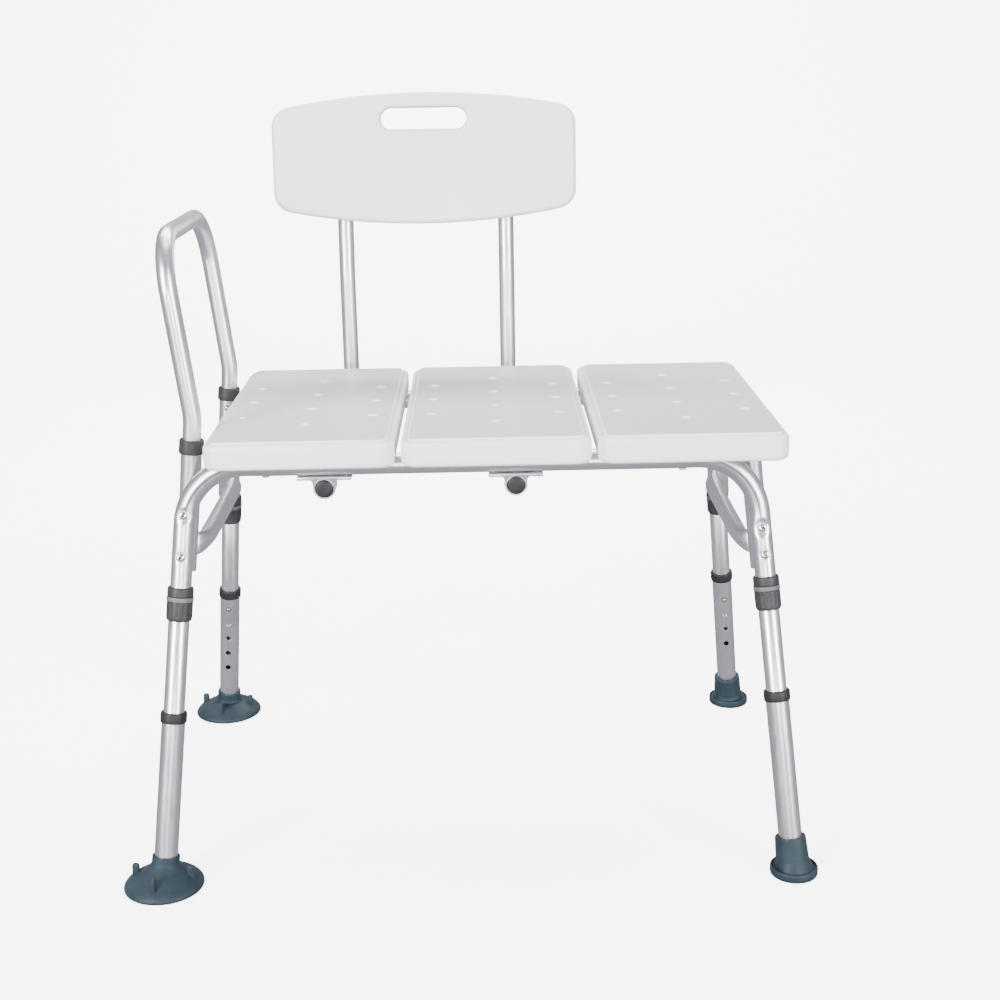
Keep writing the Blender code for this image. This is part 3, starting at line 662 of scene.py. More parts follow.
ARM_RING = [(0.0150, 0.0), (0.0152, 0.0040), (0.0150, 0.0080), (0.0150, 0.0160),
            (0.0138, 0.0172), (0.0114, 0.0172), (0.0114, 0.0145), (0.0130, 0.0145), (0.0130, 0.0)]


def ring_shape(w, r, s):
    """A shallow parting line: two narrow grooves on opposite sides."""
    if r < 0.0140:
        return 0.0
    k = 0.0
    for c in (0.0, math.pi):
        d = abs((w - c + math.pi) % (2 * math.pi) - math.pi)
        k -= 0.00022 * math.exp(-(d / 0.035) ** 2)
    return k


for tag, (sx, sy) in LEGS.items():
    if sx > 0:
        continue
    z0 = SOCKET_TOP - 0.0142
    up = Vector((-sx * LEAN_X, 0, 1)).normalized()
    obj = to_object("arm_ring_moulding_" + tag.split("_")[0],
                    turned(Vector((upper_x(sx, z0), sy * SOCKET_Y, z0)), up, Y,
                           soft(ARM_RING, 0.0009), n=96, shape=ring_shape))
    finish_piece(obj, COLLAR_GREY, "frame", ["arm_ring_" + tag.split("_")[0]], 40)


# ----------------------------------------------------------------- side braces
def brace(sx):
    z0 = SCREW_Z[sx][1]
    x0 = upper_x(1, z0) - XC
    y0 = socket_y(z0) - R_FRAME / 0.985 - 0.0025
    half = [(x0 + 0.0095, y0, 0.0040, 0.0016, 1.0), (x0 + 0.0088, y0, 0.0078, 0.0019, 1.0),
            (x0 + 0.0068, y0, 0.0108, 0.0020, 1.0), (x0 + 0.0040, y0, 0.0127, 0.0020, 1.0),
            (x0 - 0.0004, y0, 0.0139, 0.0020, 1.0), (x0 - 0.0044, y0, 0.0142, 0.0021, 1.0),
            (x0 - 0.0083, y0 - 0.0019, 0.0141, 0.0027, 0.9),
            (x0 - 0.0115, y0 - 0.0060, 0.0138, 0.0041, 0.8),
            (x0 - 0.0139, y0 - 0.0122, 0.0132, 0.0060, 0.6),
            (x0 - 0.0155, y0 - 0.0200, 0.0125, 0.0079, 0.4),
            (x0 - 0.0165, y0 - 0.0300, 0.0117, 0.0097, 0.2),
            (x0 - 0.0170, y0 - 0.0420, 0.0111, 0.0107, 0.0),
            (x0 - 0.0171, y0 - 0.0560, 0.0109, 0.0109, 0.0)]
    rows = ([(x, -y, h, t, k) for x, y, h, t, k in half]
            + [(x, y, h, t, -k) for x, y, h, t, k in half[::-1]])
    path = [Vector((XC + sx * r[0], r[1], z0)) for r in rows]
    tans = tangents(path)
    for i in range(6):
        tans[i] = Vector((-sx, 0, 0))
        tans[-1 - i] = Vector((sx, 0, 0))
    bm = bmesh.new()
    loops = [loop(bm, p, t, Vector((0, r[4] * LEAN_Y, 1)), r[2], r[3], n=40)
             for p, t, r in zip(path, tans, rows)]
    skin(bm, loops)
    bm.faces.new(loops[0][::-1])
    bm.faces.new(loops[-1])
    return bm


for tag, sx in (("left", -1), ("right", 1)):
    obj = to_object("side_brace_tube_" + tag, brace(sx))
    finish_piece(obj, ALU_Y, "frame", ["side_brace_" + tag], 50)


# ------------------------------------------------------------------- fasteners
def pan_head(at, inward, head=0.0047, tall=0.0026, reach=0.004, washer=0.0):
    """Domed head with a cross recess.  The underside of the head is at at."""
    rise = [(0.22, 0.995), (0.45, 0.97), (0.66, 0.90), (0.82, 0.78), (0.93, 0.60),
            (0.985, 0.36), (1.0, 0.12), (0.985, 0.0)]
    profile = [(head * a, -tall * b) for a, b in rise]
    if washer:
        profile += [(head * 0.99, 0.0), (washer - 0.0003, 0.0), (washer, 0.0003),
                    (washer, 0.0008), (washer - 0.0002, 0.0010)]
    profile += [(0.0019, 0.0010 if washer else 0.0), (0.0019, reach)]
    obj = to_object("screw", turned(at, inward, Z if abs(Vector(inward).z) < 0.9 else X,
                                    profile, n=40, bore=False))
    t, a, b = basis(inward, Z if abs(Vector(inward).z) < 0.9 else X)
    a, b = (a + b * 0.45).normalized(), (b - a * 0.45).normalized()
    for u, v in ((a, b), (b, a)):
        wide, deep = head * 0.60, tall * 0.70
        top = Vector(at) - t * (tall + 0.001)
        low = Vector(at) - t * (tall - deep)
        pa = [top + u * (wide * i) + v * (0.00086 * j) for i, j in ((-1, -1), (1, -1), (1, 1), (-1, 1))]
        pb = [low + u * (wide * 0.45 * i) + v * (0.00060 * j)
              for i, j in ((-1, -1), (1, -1), (1, 1), (-1, 1))]
        boolean(obj, prism(bmesh.new(), pa, pb))
    return obj


for side, sx in (("left", -1), ("right", 1)):
    for i, (place, z) in enumerate(zip(("upper", "lower"), SCREW_Z[sx])):
        for tag, sy in (("front", -1), ("rear", 1)):
            at, inward = screw_line(sx, sy, z)
            seat = at - inward * (R_FRAME - (0.0011 if i == 0 else 0.0002))
            obj = pan_head(seat, inward, head=0.0052, tall=0.0029, reach=0.046 if sy < 0 else 0.044)
            obj.name = "leg_screw_head_%s_%s_%s" % (tag, side, place)
            cad = ["leg_screw_%s_%s" % (side, place)] if sy < 0 else []

            def in_recess(c, n, seat=seat, inward=inward):
                """Faces of the cross recess, below the dome and near its middle: they get the painted shade."""
                v = c - seat
                h = -v.dot(inward)
                r = (v + inward * h).length
                dome = 0.0029 * math.sqrt(max(0.0, 1.0 - (r / 0.0052) ** 2))
                return h > 0.0002 and r < 0.0042 and h < dome - 0.00035 and r > 0

            finish_piece(obj, STEEL, "frame", cad, 30, dark=(PAINTED_RECESS_SHADE, in_recess))
            spacer = to_object("leg_spacer_%s_%s_%s" % (tag, side, place),
                               turned(at, inward, Z,
                                      soft([(0.0024, R_FRAME - 0.0004), (0.0060, R_FRAME - 0.0004),
                                            (0.0052, R_FRAME + 0.0016), (0.0052, R_FRAME + 0.0034),
                                            (0.0060, R_FRAME + 0.0056), (0.0024, R_FRAME + 0.0056)],
                                           0.0004), n=40))
            finish_piece(spacer, DARK, "frame", (), 35)


# ----------------------------------------------------------------- seat panels
def rounded_rect(w, d, r, seg):
    pts = [(-w / 2, -d / 2, 0), (w / 2, -d / 2, 0), (w / 2, d / 2, 0), (-w / 2, d / 2, 0)]
    return fillet(pts, [r] * 4, seg=seg, closed=True)


def drain_points():
    for col, count in ((-1, 3), (0, 4), (1, 3)):
        for i in range(count):
            yield col * DRAIN_COL, ((count - 1) / 2 - i) * DRAIN_PITCH


def arc(d0, h0, r, a0, a1, steps):
    """(inset, height) points of a rounded edge, centre (d0, h0)."""
    return [(d0 - r * math.cos(math.radians(a0 + (a1 - a0) * i / steps)),
             h0 + r * math.sin(math.radians(a0 + (a1 - a0) * i / steps)))
            for i in range(steps + 1)]


for tag, k in (("left", -1), ("middle", 0), ("right", 1)):
    cx = SEAT_X + k * PANEL_PITCH
    # plan outline: a rectangle with rounded corners
    outline = rounded_rect(PANEL_W, SEAT_D, PANEL_CORNER, 12)
    layers = [(0.0078, SEAT_BOTTOM)]
    layers += arc(0.0066, SEAT_BOTTOM + 0.0062, 0.0062, -90, 0, 6)
    layers[-1] = (0.0004, SEAT_BOTTOM + 0.0062)
    layers += [(0.0001, SEAT_BOTTOM + 0.0120), (0.0002, SEAT_TOP - 0.0110)]
    layers += arc(0.0064, SEAT_TOP - 0.0088, 0.0062, 4, 80, 7)
    layers += [(0.0066, SEAT_TOP - 0.00265), (0.0074, SEAT_TOP - 0.00270),
               (0.0081, SEAT_TOP - 0.00245), (0.0086, SEAT_TOP - 0.00180),
               (0.0090, SEAT_TOP - 0.00095), (0.0096, SEAT_TOP - 0.00030),
               (0.0103, SEAT_TOP - 0.00004), (0.0112, SEAT_TOP), (0.0125, SEAT_TOP)]
    obj = to_object("seat_moulding_" + tag,
                    slab(outline, layers, lambda u, v, w: Vector((cx + u, SEAT_MID_Y + v, w))))
    tool = bmesh.new()
    for sy in (-1, 1):
        box(tool, (cx - 0.2, sy * RAIL_Y - R_FRAME - GAP, SEAT_BOTTOM - 0.01),
            (cx + 0.2, sy * RAIL_Y + R_FRAME + GAP, RAIL_Z + R_FRAME + GAP))
    # hollow underside, left as bays between ribs
    u0, u1 = cx - PANEL_W / 2 + 0.006, cx + PANEL_W / 2 - 0.006
    v0, v1 = -RAIL_Y + R_FRAME + 0.008, RAIL_Y - R_FRAME - 0.008
    for i in range(3):
        for j in range(4):
            a0 = u0 + (u1 - u0) * i / 3 + (0.0012 if i else 0)
            a1 = u0 + (u1 - u0) * (i + 1) / 3 - (0.0012 if i < 2 else 0)
            b0 = v0 + (v1 - v0) * j / 4 + (0.0012 if j else 0)
            b1 = v0 + (v1 - v0) * (j + 1) / 4 - (0.0012 if j < 3 else 0)
            box(tool, (a0, b0, SEAT_BOTTOM - 0.01), (a1, b1, SEAT_TOP - 0.0060))
    boolean(obj, tool)
    tool = bmesh.new()
    for u, v in drain_points():
        turned((cx + u, SEAT_MID_Y + v, SEAT_TOP), Z, X,
               [(0.0019, -0.0080), (0.0019, -0.0034), (0.0027, -0.0031), (0.0040, -0.0026),
                (0.0051, -0.0018), (0.0059, -0.0010), (0.0065, -0.0003), (0.0070, 0.0),
                (0.0074, 0.0012)],
               n=32, bore=False, bm=tool)
    boolean(obj, tool)
    finish_piece(obj, WHITE_SEAT, "frame", ["seat_panel_" + tag], 32, weighted=True)


# ------------------------------------------------ saddles under the back tubes
def saddle(x, sy):
    zt = RAIL_Z - R_FRAME - GAP
    zb = zt - 0.0036
    r = R_ARM + 0.0004 + 0.0022
    pts = [(x - 0.0325, zt), (x - 0.0325, zb), (x - r - 0.0022, zb), (x - r - 0.0006, zb - 0.0016)]
    for i in range(33):
        w = math.radians(172) + math.radians(196) * i / 32
        pts.append((x + r * math.cos(w), BACK_TUBE_Z + r * math.sin(w)))
    pts += [(x + r + 0.0006, zb - 0.0016), (x + r + 0.0022, zb), (x + 0.0325, zb), (x + 0.0325, zt)]
    bm = bmesh.new()
    y0, y1 = sy * RAIL_Y - 0.0115, sy * RAIL_Y + 0.0115
    a = [bm.verts.new((p[0], y0, p[1])) for p in pts]
    b = [bm.verts.new((p[0], y1, p[1])) for p in pts]
    skin(bm, [a, b])
    bm.faces.new(a)
    bm.faces.new(b[::-1])
    return bm


for side, bx in (("left", BACK_X[0]), ("right", BACK_X[1])):
    for tag, sy in (("front", -1), ("rear", 1)):
        x = XC + bx
        obj = to_object("saddle_plate_%s_%s" % (tag, side), saddle(x, sy))
        boolean(obj, turned((x, sy * RAIL_Y - 0.03, BACK_TUBE_Z), Y, X,
                            [(R_ARM + 0.0003, 0.0), (R_ARM + 0.0003, 0.06)], n=64, bore=False))
        finish_piece(obj, PLATE, "frame", ["saddle_%s_%s" % (tag, side)],
                     35, bevel=0.0006)
        for i, dx in enumerate((-0.0255, 0.0255)):
            s = pan_head(Vector((x + dx, sy * RAIL_Y, RAIL_Z - R_FRAME - GAP - 0.0037)), Z,
                         head=0.0044, tall=0.0024, reach=0.006)
            s.name = "saddle_screw_%s_%s_%d" % (tag, side, i)
            finish_piece(s, STEEL, "frame", (), 30)

for i, px in enumerate((-0.235, 0.262, 0.330)):
    for tag, sy in (("front", -1), ("rear", 1)):
        s = pan_head(Vector((px, sy * RAIL_Y, RAIL_Z - R_FRAME + 0.0001)), Z,
                     head=0.0044, tall=0.0024, reach=0.006)
        s.name = "seat_screw_%s_%d" % (tag, i)
        finish_piece(s, STEEL, "frame", (), 30)

# -------------------------------------------------------------- leg assemblies
COLLAR = [(0.0139, -0.0205), (0.0149, -0.0196), (0.0156, -0.0165), (0.0157, -0.0100),
          (0.0157, -0.0050), (0.0157, 0.0030), (0.0138, 0.0030), (0.0138, 0.0090),
          (0.0156, 0.0090), (0.0157, 0.0140), (0.0156, 0.0185), (0.0147, 0.0205),
          (0.0130, 0.0205), (0.0130, -0.0205)]
LOW_RING = [(0.0160, -0.0065), (0.0161, -0.0020), (0.0161, 0.0030), (0.0159, 0.0052),
            (0.0148, 0.0065), (0.0130, 0.0065), (0.0130, 0.0043), (0.0146, 0.0043),
            (0.0146, -0.0065)]


def collar_shape(w, r, s):
    """Moulded grip flats on the lower skirt, a parting groove higher up."""
    if r < 0.0143:
        return 0.0
    k = 0.0
    if s < 0.0022:
        fade = smooth01((s + 0.0185) / 0.004) * smooth01((0.0022 - s) / 0.002)
        k -= 0.00050 * fade * smooth01((math.cos(12 * w) + 0.10) / 0.30)
    if s > 0.0095:
        for c in (0.9, 0.9 + math.pi):
            d = abs((w - c + math.pi) % (2 * math.pi) - math.pi)
            k -= 0.0003 * math.exp(-(d / 0.03) ** 2)
    return k


def low_shape(w, r, s):
    if r < 0.0152:
        return 0.0
    k = 0.0
    for c in (0.5, 0.5 + math.pi):
        d = abs((w - c + math.pi) % (2 * math.pi) - math.pi)
        k -= 0.00030 * math.exp(-(d / 0.035) ** 2)
    return k


def profile_dense(profile, step=0.0016):
    pts = [Vector((a, b, 0)) for a, b in profile]
    out = []
    for i, p in enumerate(pts):
        q = pts[(i + 1) % len(pts)]
        k = max(1, int((q - p).length / step))
        out += [p.lerp(q, j / k) for j in range(k)]
    return [(p.x, p.y) for p in out]


for tag, (sx, sy) in LEGS.items():
    foot, up = leg_axis(sx, sy)
    out = inward_dir(sx, sy)
    side = up.cross(out)

    obj = to_object("collar_moulding_" + tag,
                    turned(leg_at(sx, sy, S_COLLAR), up, Y,
                           profile_dense(soft(COLLAR, 0.0007)), n=168, shape=collar_shape))
    finish_piece(obj, COLLAR_GREY, "frame", ["collar_" + tag], 40)

    # release clip: sprung ring with a thumb button
    at = leg_at(sx, sy, S_CLIP)
    h = 0.0026
    bm = bmesh.new()
    rows = []
    for r, s, sh in ((0.0160, -h, 0.4), (0.0162, -h * 0.75, 0.4), (0.0162, h * 0.75, 0.4),
                     (0.0160, h, 0.4), (0.0151, h, 1), (0.0150, h * 0.8, 1),
                     (0.0150, -h * 0.8, 1), (0.0151, -h, 1)):
        rows.append(loop(bm, at + up * s + out * (0.0008 * sh), up, Y, r, n=72))
    skin(bm, rows, closed=True)
    obj = to_object("release_ring_" + tag, bm)
    boolean(obj, turned(at, out, up,
                        [(0.0024, 0.0158), (0.0024, 0.0178), (0.0044, 0.0178), (0.0048, 0.0181),
                         (0.0048, 0.0189), (0.0046, 0.0196), (0.0040, 0.0200),
                         (0.0032, 0.0199), (0.0026, 0.0195), (0.0006, 0.0193)],
                        n=40, bore=False), "UNION")
    finish_piece(obj, LIGHT, "clip_" + tag, ["release_clip_" + tag], 40)

    # leg tube with the neck that slides in the rail's leg
    s1 = S_UPPER_END - 0.0004
    prof = [(R_FRAME, S_MID_END), (R_FRAME, s1 - 0.0008), (R_FRAME - 0.0005, s1),
            (R_NECK, s1 + GAP), (R_NECK, s1 + NECK_LEN), (R_NECK - 0.0013, s1 + NECK_LEN),
            (R_NECK - 0.0013, s1 - 0.004), (R_FRAME - WALL, s1 - 0.006),
            (R_FRAME - WALL, S_MID_END)]
    obj = to_object("leg_tube_drawn_" + tag, turned(foot, up, Y, prof, n=64))
    s0 = S_TUBE_LOW[sx]
    s_top = s0 + LOWER_LEN
    first_a = s_top - 0.027
    row_a = out if sx < 0 else side * (-1 if side.x * sx > 0 else 1)
    row_b = out if sx > 0 else side * (-1 if side.x * sx > 0 else 1)
    tool = bmesh.new()
    turned(leg_at(sx, sy, S_BUTTON), out, up, [(0.0038, 0.0), (0.0038, 0.03)], n=28, bore=False, bm=tool)
    spots = [(first_a - i * HOLE_PITCH, row_a) for i in range(5)] \
        + [(first_a - (i + 0.5) * HOLE_PITCH, row_b) for i in range(4)]
    for s, d in spots:
        if S_MID_END + 0.006 < s < S_BUTTON - 1.2 * HOLE_PITCH:
            turned(leg_at(sx, sy, s), d, up, [(0.0034, 0.004), (0.0034, 0.03)], n=24, bore=False, bm=tool)
    boolean(obj, tool)
    finish_piece(obj, ALU_Z, "leg_" + tag, ["leg_tube_" + tag], 35)

    # snap button of the height setting
    obj = to_object("snap_button_dome_" + tag,
                    turned(leg_at(sx, sy, S_BUTTON), out, up,
                           [(0.0040, 0.0078), (0.0045, 0.0082), (0.0045, 0.0090), (0.0033, 0.0093),
                            (0.0033, 0.0148), (0.0031, 0.0158), (0.0026, 0.0166),
                            (0.0018, 0.0170), (0.0008, 0.0172)], n=36, bore=False))
    finish_piece(obj, BRASS, "snap_" + tag, ["snap_button_" + tag], 50)

    # lower leg
    obj = to_object("lower_tube_drawn_" + tag,
                    turned(foot, up, Y,
                           [(R_LOWER, s0), (R_LOWER, s_top - 0.0004), (R_LOWER - 0.0004, s_top),
                            (0.0130, s_top), (0.0130, s0)], n=64))
    tool = bmesh.new()
    for s, d in spots:
        turned(leg_at(sx, sy, s), d, up,
               [(HOLE_R, 0.004), (HOLE_R, R_LOWER - 0.0006), (HOLE_R + 0.0005, R_LOWER + 0.0001),
                (HOLE_R + 0.0005, 0.02)], n=32, bore=False, bm=tool)
    boolean(obj, tool)
    finish_piece(obj, ALU_LOW, "lower_" + tag, ["lower_tube_" + tag], 35)

    obj = to_object("lower_ring_moulding_" + tag,
                    turned(leg_at(sx, sy, s_top - 0.004), up, Y, soft(LOW_RING, 0.0007),
                           n=96, shape=low_shape))
    finish_piece(obj, DARK, "lower_" + tag, ["lower_ring_" + tag], 40)

    # foot
    bm = bmesh.new()
    if sx < 0:
        flat = [(0.0115, 0.0020), (0.0112, 0.0170), (0.0098, 0.0270), (0.0072, 0.0360),
                (0.0036, 0.0420), (0.0008, 0.0452), (0.0, 0.0462), (0.0, 0.0474),
                (0.0006, 0.0484), (0.0018, 0.04895), (0.0034, 0.0489), (0.0052, 0.0479),
                (0.0078, 0.0456), (0.0108, 0.0418), (0.0138, 0.0370), (0.0166, 0.0314),
                (0.0190, 0.0262), (0.0210, 0.0222)]
        rise = [(0.0262, 0.0192), (0.0282, 0.0177), (0.0305, 0.0171), (0.0370, 0.0170),
                (0.0386, 0.0168), (0.0392, 0.0162), (0.0392, 0.0150), (0.0388, 0.0146),
                (s0 - GAP, 0.0146)]
    else:
        flat = [(0.0, 0.0040), (0.0, 0.0268), (0.0, 0.0276), (0.0006, 0.0286),
                (0.0018, 0.0292), (0.0050, 0.0293), (0.0086, 0.0293), (0.0100, 0.0289),
                (0.0107, 0.0281), (0.0106, 0.0272), (0.0096, 0.0266), (0.0086, 0.0260),
                (0.0082, 0.0250), (0.0082, 0.0236), (0.0088, 0.0228)]
        rise = [(0.0142, 0.0224), (0.0160, 0.0216), (0.0175, 0.0208), (0.0200, 0.0204),
                (0.0330, 0.0197), (0.0450, 0.0190), (0.0468, 0.0188), (0.0476, 0.0180),
                (0.0476, 0.0152), (0.0470, 0.0146), (s0 - GAP, 0.0146)]
    rows = [loop(bm, foot + Z * z, Z, Y, r, n=72) for z, r in flat]
    rows += [loop(bm, leg_at(sx, sy, s), up, Y, r, n=72) for s, r in rise]
    skin(bm, rows)
    bm.faces.new(rows[0][::-1])
    bm.faces.new(rows[-1])
    cad = ("suction_foot_" if sx < 0 else "rubber_tip_") + tag
    obj = to_object(cad + "_moulding", bm)
    if sx < 0:
        for i in range(4):      # radial release tabs
            w = math.radians(-8 + 90 * i)
            rad, tan = Vector((math.cos(w), math.sin(w), 0)), Vector((-math.sin(w), math.cos(w), 0))
            c2 = fillet([(0.0300, 0.008, 0), (0.0398, 0.008, 0), (0.0388, 0.0284, 0),
                         (0.0306, 0.0278, 0)], [0, 0, 0.0026, 0.0026], seg=6, closed=True)
            tab = bmesh.new()
            lay = []
            for off, ins in ((-0.0023, 0.0007), (-0.0017, 0.0), (0.0017, 0.0), (0.0023, 0.0007)):
                pts = inset([(p.x, p.y) for p in c2], ins)
                lay.append([tab.verts.new(foot + rad * p.x + Z * p.y + tan * off) for p in pts])
            skin(tab, lay)
            tab.faces.new(lay[0][::-1])
            tab.faces.new(lay[-1])
            boolean(obj, tab, "UNION")
    finish_piece(obj, RUBBER, "lower_" + tag, [cad], 42)


# -------------------------------------------------------------------- arm rail
def arm_x(z):
    return upper_x(-1, ARM_BEND_Z) - ARM_LEAN * (z - ARM_BEND_Z)


pts = []
for sy in (-1, 1):
    run = [Vector((upper_x(-1, ARM_BOTTOM), sy * SOCKET_Y, ARM_BOTTOM)),
           Vector((upper_x(-1, ARM_BEND_Z), sy * SOCKET_Y, ARM_BEND_Z)),
           Vector((arm_x(ARM_TOP_Z), sy * SOCKET_Y, ARM_TOP_Z))]
    pts += run if sy < 0 else run[::-1]
path = fillet(pts, [0, 0.08, ARM_CORNER_R, ARM_CORNER_R, 0.08, 0],
              seg={1: 10, 2: 24, 3: 24, 4: 10})
path = dense(path, lambda p: 0.014)
obj = to_object("arm_rail_tube", swept(path, R_ARM, 0.0098, X, n=56))
tool = bmesh.new()
for sy in (-1, 1):
    turned((upper_x(-1, 0.5090), sy * SOCKET_Y, 0.5090), (0, -sy, 0), X,
           [(0.0038, 0.0), (0.0038, 0.02)], n=28, bore=False, bm=tool)
boolean(obj, tool)
finish_piece(obj, ALU_Z, "arm", ["arm_rail"], 40)
for tag, sy in (("front", -1), ("rear", 1)):
    obj = to_object("arm_button_dome_" + tag,
                    turned((upper_x(-1, 0.5090), sy * SOCKET_Y, 0.5090), (0, -sy, 0), X,
                           [(0.0038, 0.0062), (0.0042, 0.0066), (0.0042, 0.0074), (0.0033, 0.0077),
                            (0.0033, 0.0130), (0.0031, 0.0140), (0.0026, 0.0148),
                            (0.0018, 0.0151), (0.0007, 0.0152)], n=36, bore=False))
    finish_piece(obj, STEEL, "arm_button_" + tag, ["arm_button_" + tag], 50)

# -------------------------------------------------------------------- backrest
tilt_up = Vector((0, math.sin(BACK_TILT), math.cos(BACK_TILT)))
tilt_out = Vector((0, -math.cos(BACK_TILT), math.sin(BACK_TILT)))
for tag, bx in (("left", BACK_X[0]), ("right", BACK_X[1])):
    x = XC + bx
    knee = Vector((x, BACK_POST_Y, BACK_KNEE_Z))
    pts = [Vector((x, BACK_FRONT, BACK_TUBE_Z)), Vector((x, BACK_POST_Y, BACK_TUBE_Z)),
           knee, knee + tilt_up * BACK_END]
    path = fillet(pts, [0, BACK_BEND_R, 0.12, 0], seg={1: 24, 2: 8})
    path = dense(path, lambda p: 0.014)
    obj = to_object("back_tube_drawn_" + tag, swept(path, R_ARM, 0.0098, X, n=56))
    finish_piece(obj, ALU_Z, "backrest", ["back_tube_" + tag], 50)
    obj = to_object("back_cap_" + tag,
                    turned((x, BACK_FRONT, BACK_TUBE_Z), Y, X,
                           [(0.0030, -0.0036), (0.0075, -0.0034), (0.0096, -0.0029),
                            (0.0107, -0.0021), (0.0111, -0.0012), (0.0111, -GAP),
                            (0.0094, -GAP), (0.0092, 0.0110), (0.0085, 0.0120)],
                           n=56, bore=False))
    finish_piece(obj, DARK, "backrest", ["back_tube_cap_" + tag], 42)

mid = Vector((XC + PANEL_X, BACK_POST_Y, BACK_KNEE_Z)) + tilt_up * PANEL_MID
face0 = mid + tilt_out * (R_ARM + GAP)


def back_outline():
    pts, radii = [], []
    steps = 20
    for sgn in (-1, 1):
        for i in range(steps + 1):
            t = (-1 + 2 * i / steps) * -sgn
            pts.append((t * PANEL_HALF_W, sgn * PANEL_HALF_H * (1 - 0.25 * t * t), 0))
    # order: bottom edge left to right, then top edge right to left
    bottom = [p for p in pts if p[1] < 0]
    top = [p for p in pts if p[1] > 0]
    bottom.sort(key=lambda p: p[0])
    top.sort(key=lambda p: -p[0])
    keep = []
    for p in bottom + top:
        if abs(abs(p[0]) - PANEL_HALF_W) < 1e-9 or abs(p[0]) < PANEL_HALF_W - 0.030:
            keep.append(p)
            radii.append(0.028 if abs(abs(p[0]) - PANEL_HALF_W) < 1e-9 else 0)
    return fillet(keep, radii, seg=12, closed=True)


def back_place(u, v, w):
    return face0 + X * u + tilt_up * v + tilt_out * w


layers = arc(0.0060, 0.0060, 0.0060, -90, 0, 6)
layers += [(0.0, PANEL_T * 0.45)]
layers += [(a, b) for a, b in arc(0.0110, PANEL_T - 0.0095, 0.0110, 2, 88, 10)]
layers = [(a, min(b, PANEL_T)) for a, b in layers]
layers[-1] = (0.0118, PANEL_T - 0.00002)
layers = [l for l in layers if l[1] <= PANEL_T]
layers += [(0.0140, PANEL_T)]
obj = to_object("backrest_moulding", slab(back_outline(), layers, back_place))


def stadium(grow, n=16):
    out = []
    for end, start in ((1, -math.pi / 2), (-1, math.pi / 2)):
        for i in range(n + 1):
            w = start + math.pi * i / n
            r = SLOT_H / 2 + grow
            out.append((end * (SLOT_L - SLOT_H) / 2 + r * math.cos(w), SLOT_V + r * math.sin(w)))
    return out


tool = bmesh.new()
rows = []
for w, grow in ((-0.004, 0.0050), (-0.0001, 0.0036), (0.0006, 0.0022), (0.0018, 0.0009), (0.0036, 0.0),
                (PANEL_T - 0.0042, 0.0), (PANEL_T - 0.0022, 0.0008), (PANEL_T - 0.0008, 0.0021),
                (PANEL_T + 0.0001, 0.0038), (PANEL_T + 0.004, 0.0060)):
    rows.append([tool.verts.new(back_place(u, v, w)) for u, v in stadium(grow)])
skin(tool, rows)
tool.faces.new(rows[0][::-1])
tool.faces.new(rows[-1])
boolean(obj, tool)
tool = bmesh.new()
corners = fillet([(-0.100, -0.070, 0), (0.098, -0.070, 0), (0.098, 0.028, 0), (-0.100, 0.028, 0)],
                 [0.012] * 4, seg=6, closed=True)
prism(tool, [back_place(p.x, p.y, -0.01) for p in corners],
      [back_place(p.x * 0.985, p.y * 0.985, PANEL_T - 0.005) for p in corners])
boolean(obj, tool)
finish_piece(obj, WHITE, "backrest", ["backrest_panel"], 32, weighted=True)

for tag, bx in (("left", BACK_X[0]), ("right", BACK_X[1])):
    for i, along in enumerate((0.105, 0.175)):
        at = Vector((XC + bx, BACK_POST_Y, BACK_KNEE_Z)) + tilt_up * along
        s = pan_head(at - tilt_out * (R_ARM - 0.0004), tilt_out, head=0.0044, tall=0.0024, reach=0.026)
        s.name = "backrest_screw_%s_%d" % (tag, i)
        finish_piece(s, STEEL, "backrest", (), 30)

# ----------------------------------------------------------------------- stage
floor_mat = Finish("studio_floor", roughness=0.7)
floor_mat.colour(floor_mat.ramp(floor_mat.noise(1.5, 2.0), [(0.3, (0.86, 0.86, 0.86)), (0.7, (0.88, 0.88, 0.88))]))
floor_mat.bumps((floor_mat.noise(60.0, 3.0), 0.0005, 0.05))
floor_mat.bsdf.inputs["Emission Color"].default_value = (1, 1, 1, 1)
floor_mat.bsdf.inputs["Emission Strength"].default_value = 5.0
bm = bmesh.new()
prof = [(-20.0, 0.0), (3.0, 0.0)]
for i in range(1, 25):
    a = math.pi / 2 * i / 24
    prof.append((3.0 + 1.6 * math.sin(a), 1.6 * (1 - math.cos(a))))
prof.append((4.6, 9.0))
left = [bm.verts.new((-14, y, z - 0.0004)) for y, z in prof]
right = [bm.verts.new((14, y, z - 0.0004)) for y, z in prof]
for i in range(len(prof) - 1):
    bm.faces.new((left[i], right[i], right[i + 1], left[i + 1]))
floor = to_object("studio_sweep", bm)
floor.data.materials.append(floor_mat.mat)
floor.data.shade_smooth()
floor.visible_glossy = False
floor.visible_diffuse = False

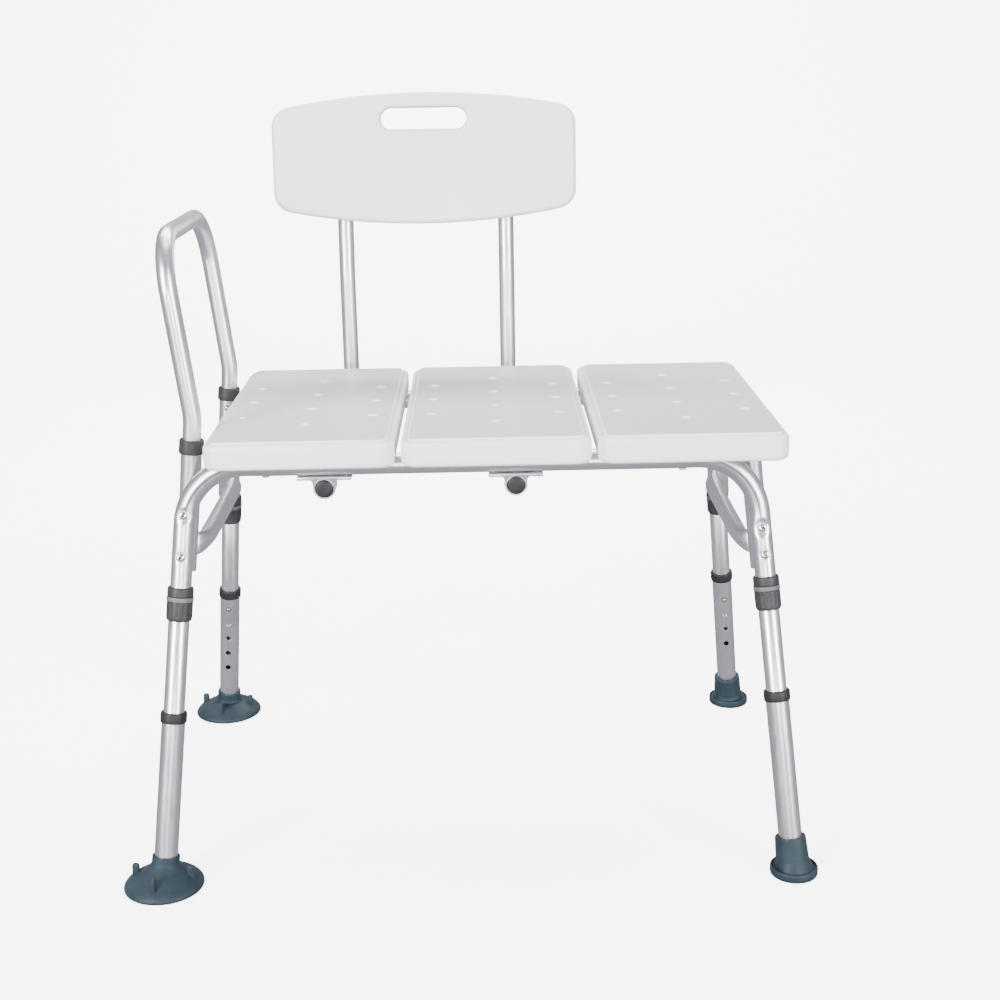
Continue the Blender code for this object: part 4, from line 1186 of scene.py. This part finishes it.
world = bpy.data.worlds.new("studio")
bpy.context.scene.world = world
world.use_nodes = True
bg = world.node_tree.nodes["Background"]
bg.inputs["Color"].default_value = (0.90, 0.89, 1.0, 1.0)
bg.inputs["Strength"].default_value = 0.56


def area(name, at, look, size, power, colour=(1, 1, 1), size_y=None):
    data = bpy.data.lights.new(name, "AREA")
    data.shape = "RECTANGLE"
    data.size = size
    data.size_y = size_y or size
    data.energy = power
    data.color = colour
    obj = bpy.data.objects.new(name, data)
    obj.location = at
    obj.rotation_euler = (Vector(look) - Vector(at)).to_track_quat("-Z", "Y").to_euler()
    bpy.context.collection.objects.link(obj)
    return obj


area("key_left", (-2.1, -2.6, 1.5), (0, 0, 0.45), 1.0, 265, (1.0, 0.985, 0.965), size_y=2.4)
area("key_right", (2.3, -2.5, 1.3), (0, 0, 0.45), 0.9, 195, (1.0, 0.985, 0.97), size_y=2.4)
area("front_low", (0.1, -3.4, 0.4), (0, 0, 0.5), 1.4, 50, size_y=0.8)
area("top", (0, 0.6, 2.9), (0, 0, 0.4), 1.6, 40)
area("sweep_light", (0, 1.9, 3.2), (0, 3.4, 0.6), 4.0, 330, size_y=1.2)

# ---------------------------------------------------------------------- camera
FOCAL, CX, CY = 1544.1, 493.4, 499.8
PITCH, YAW, ROLL = math.radians(16.4387), math.radians(0.3172), math.radians(-1.006)
fwd = Vector((math.sin(YAW) * math.cos(PITCH), math.cos(YAW) * math.cos(PITCH), -math.sin(PITCH)))
right_v = Vector((math.cos(YAW), -math.sin(YAW), 0))
up_v = right_v.cross(fwd)
r_v = right_v * math.cos(ROLL) + up_v * math.sin(ROLL)
u_v = -right_v * math.sin(ROLL) + up_v * math.cos(ROLL)
cam_data = bpy.data.cameras.new("camera")
cam_data.sensor_width = 36.0
cam_data.lens = 36.0 * FOCAL / 1000.0
cam_data.shift_x = (500.0 - CX) / 1000.0
cam_data.shift_y = (CY - 500.0) / 1000.0
cam_data.clip_end = 50.0
cam = bpy.data.objects.new("camera", cam_data)
m = Matrix((r_v, u_v, -fwd)).transposed().to_4x4()
m.translation = Vector((0.0258, -1.9491, 0.9844))
cam.matrix_world = m
bpy.context.collection.objects.link(cam)
bpy.context.scene.camera = cam
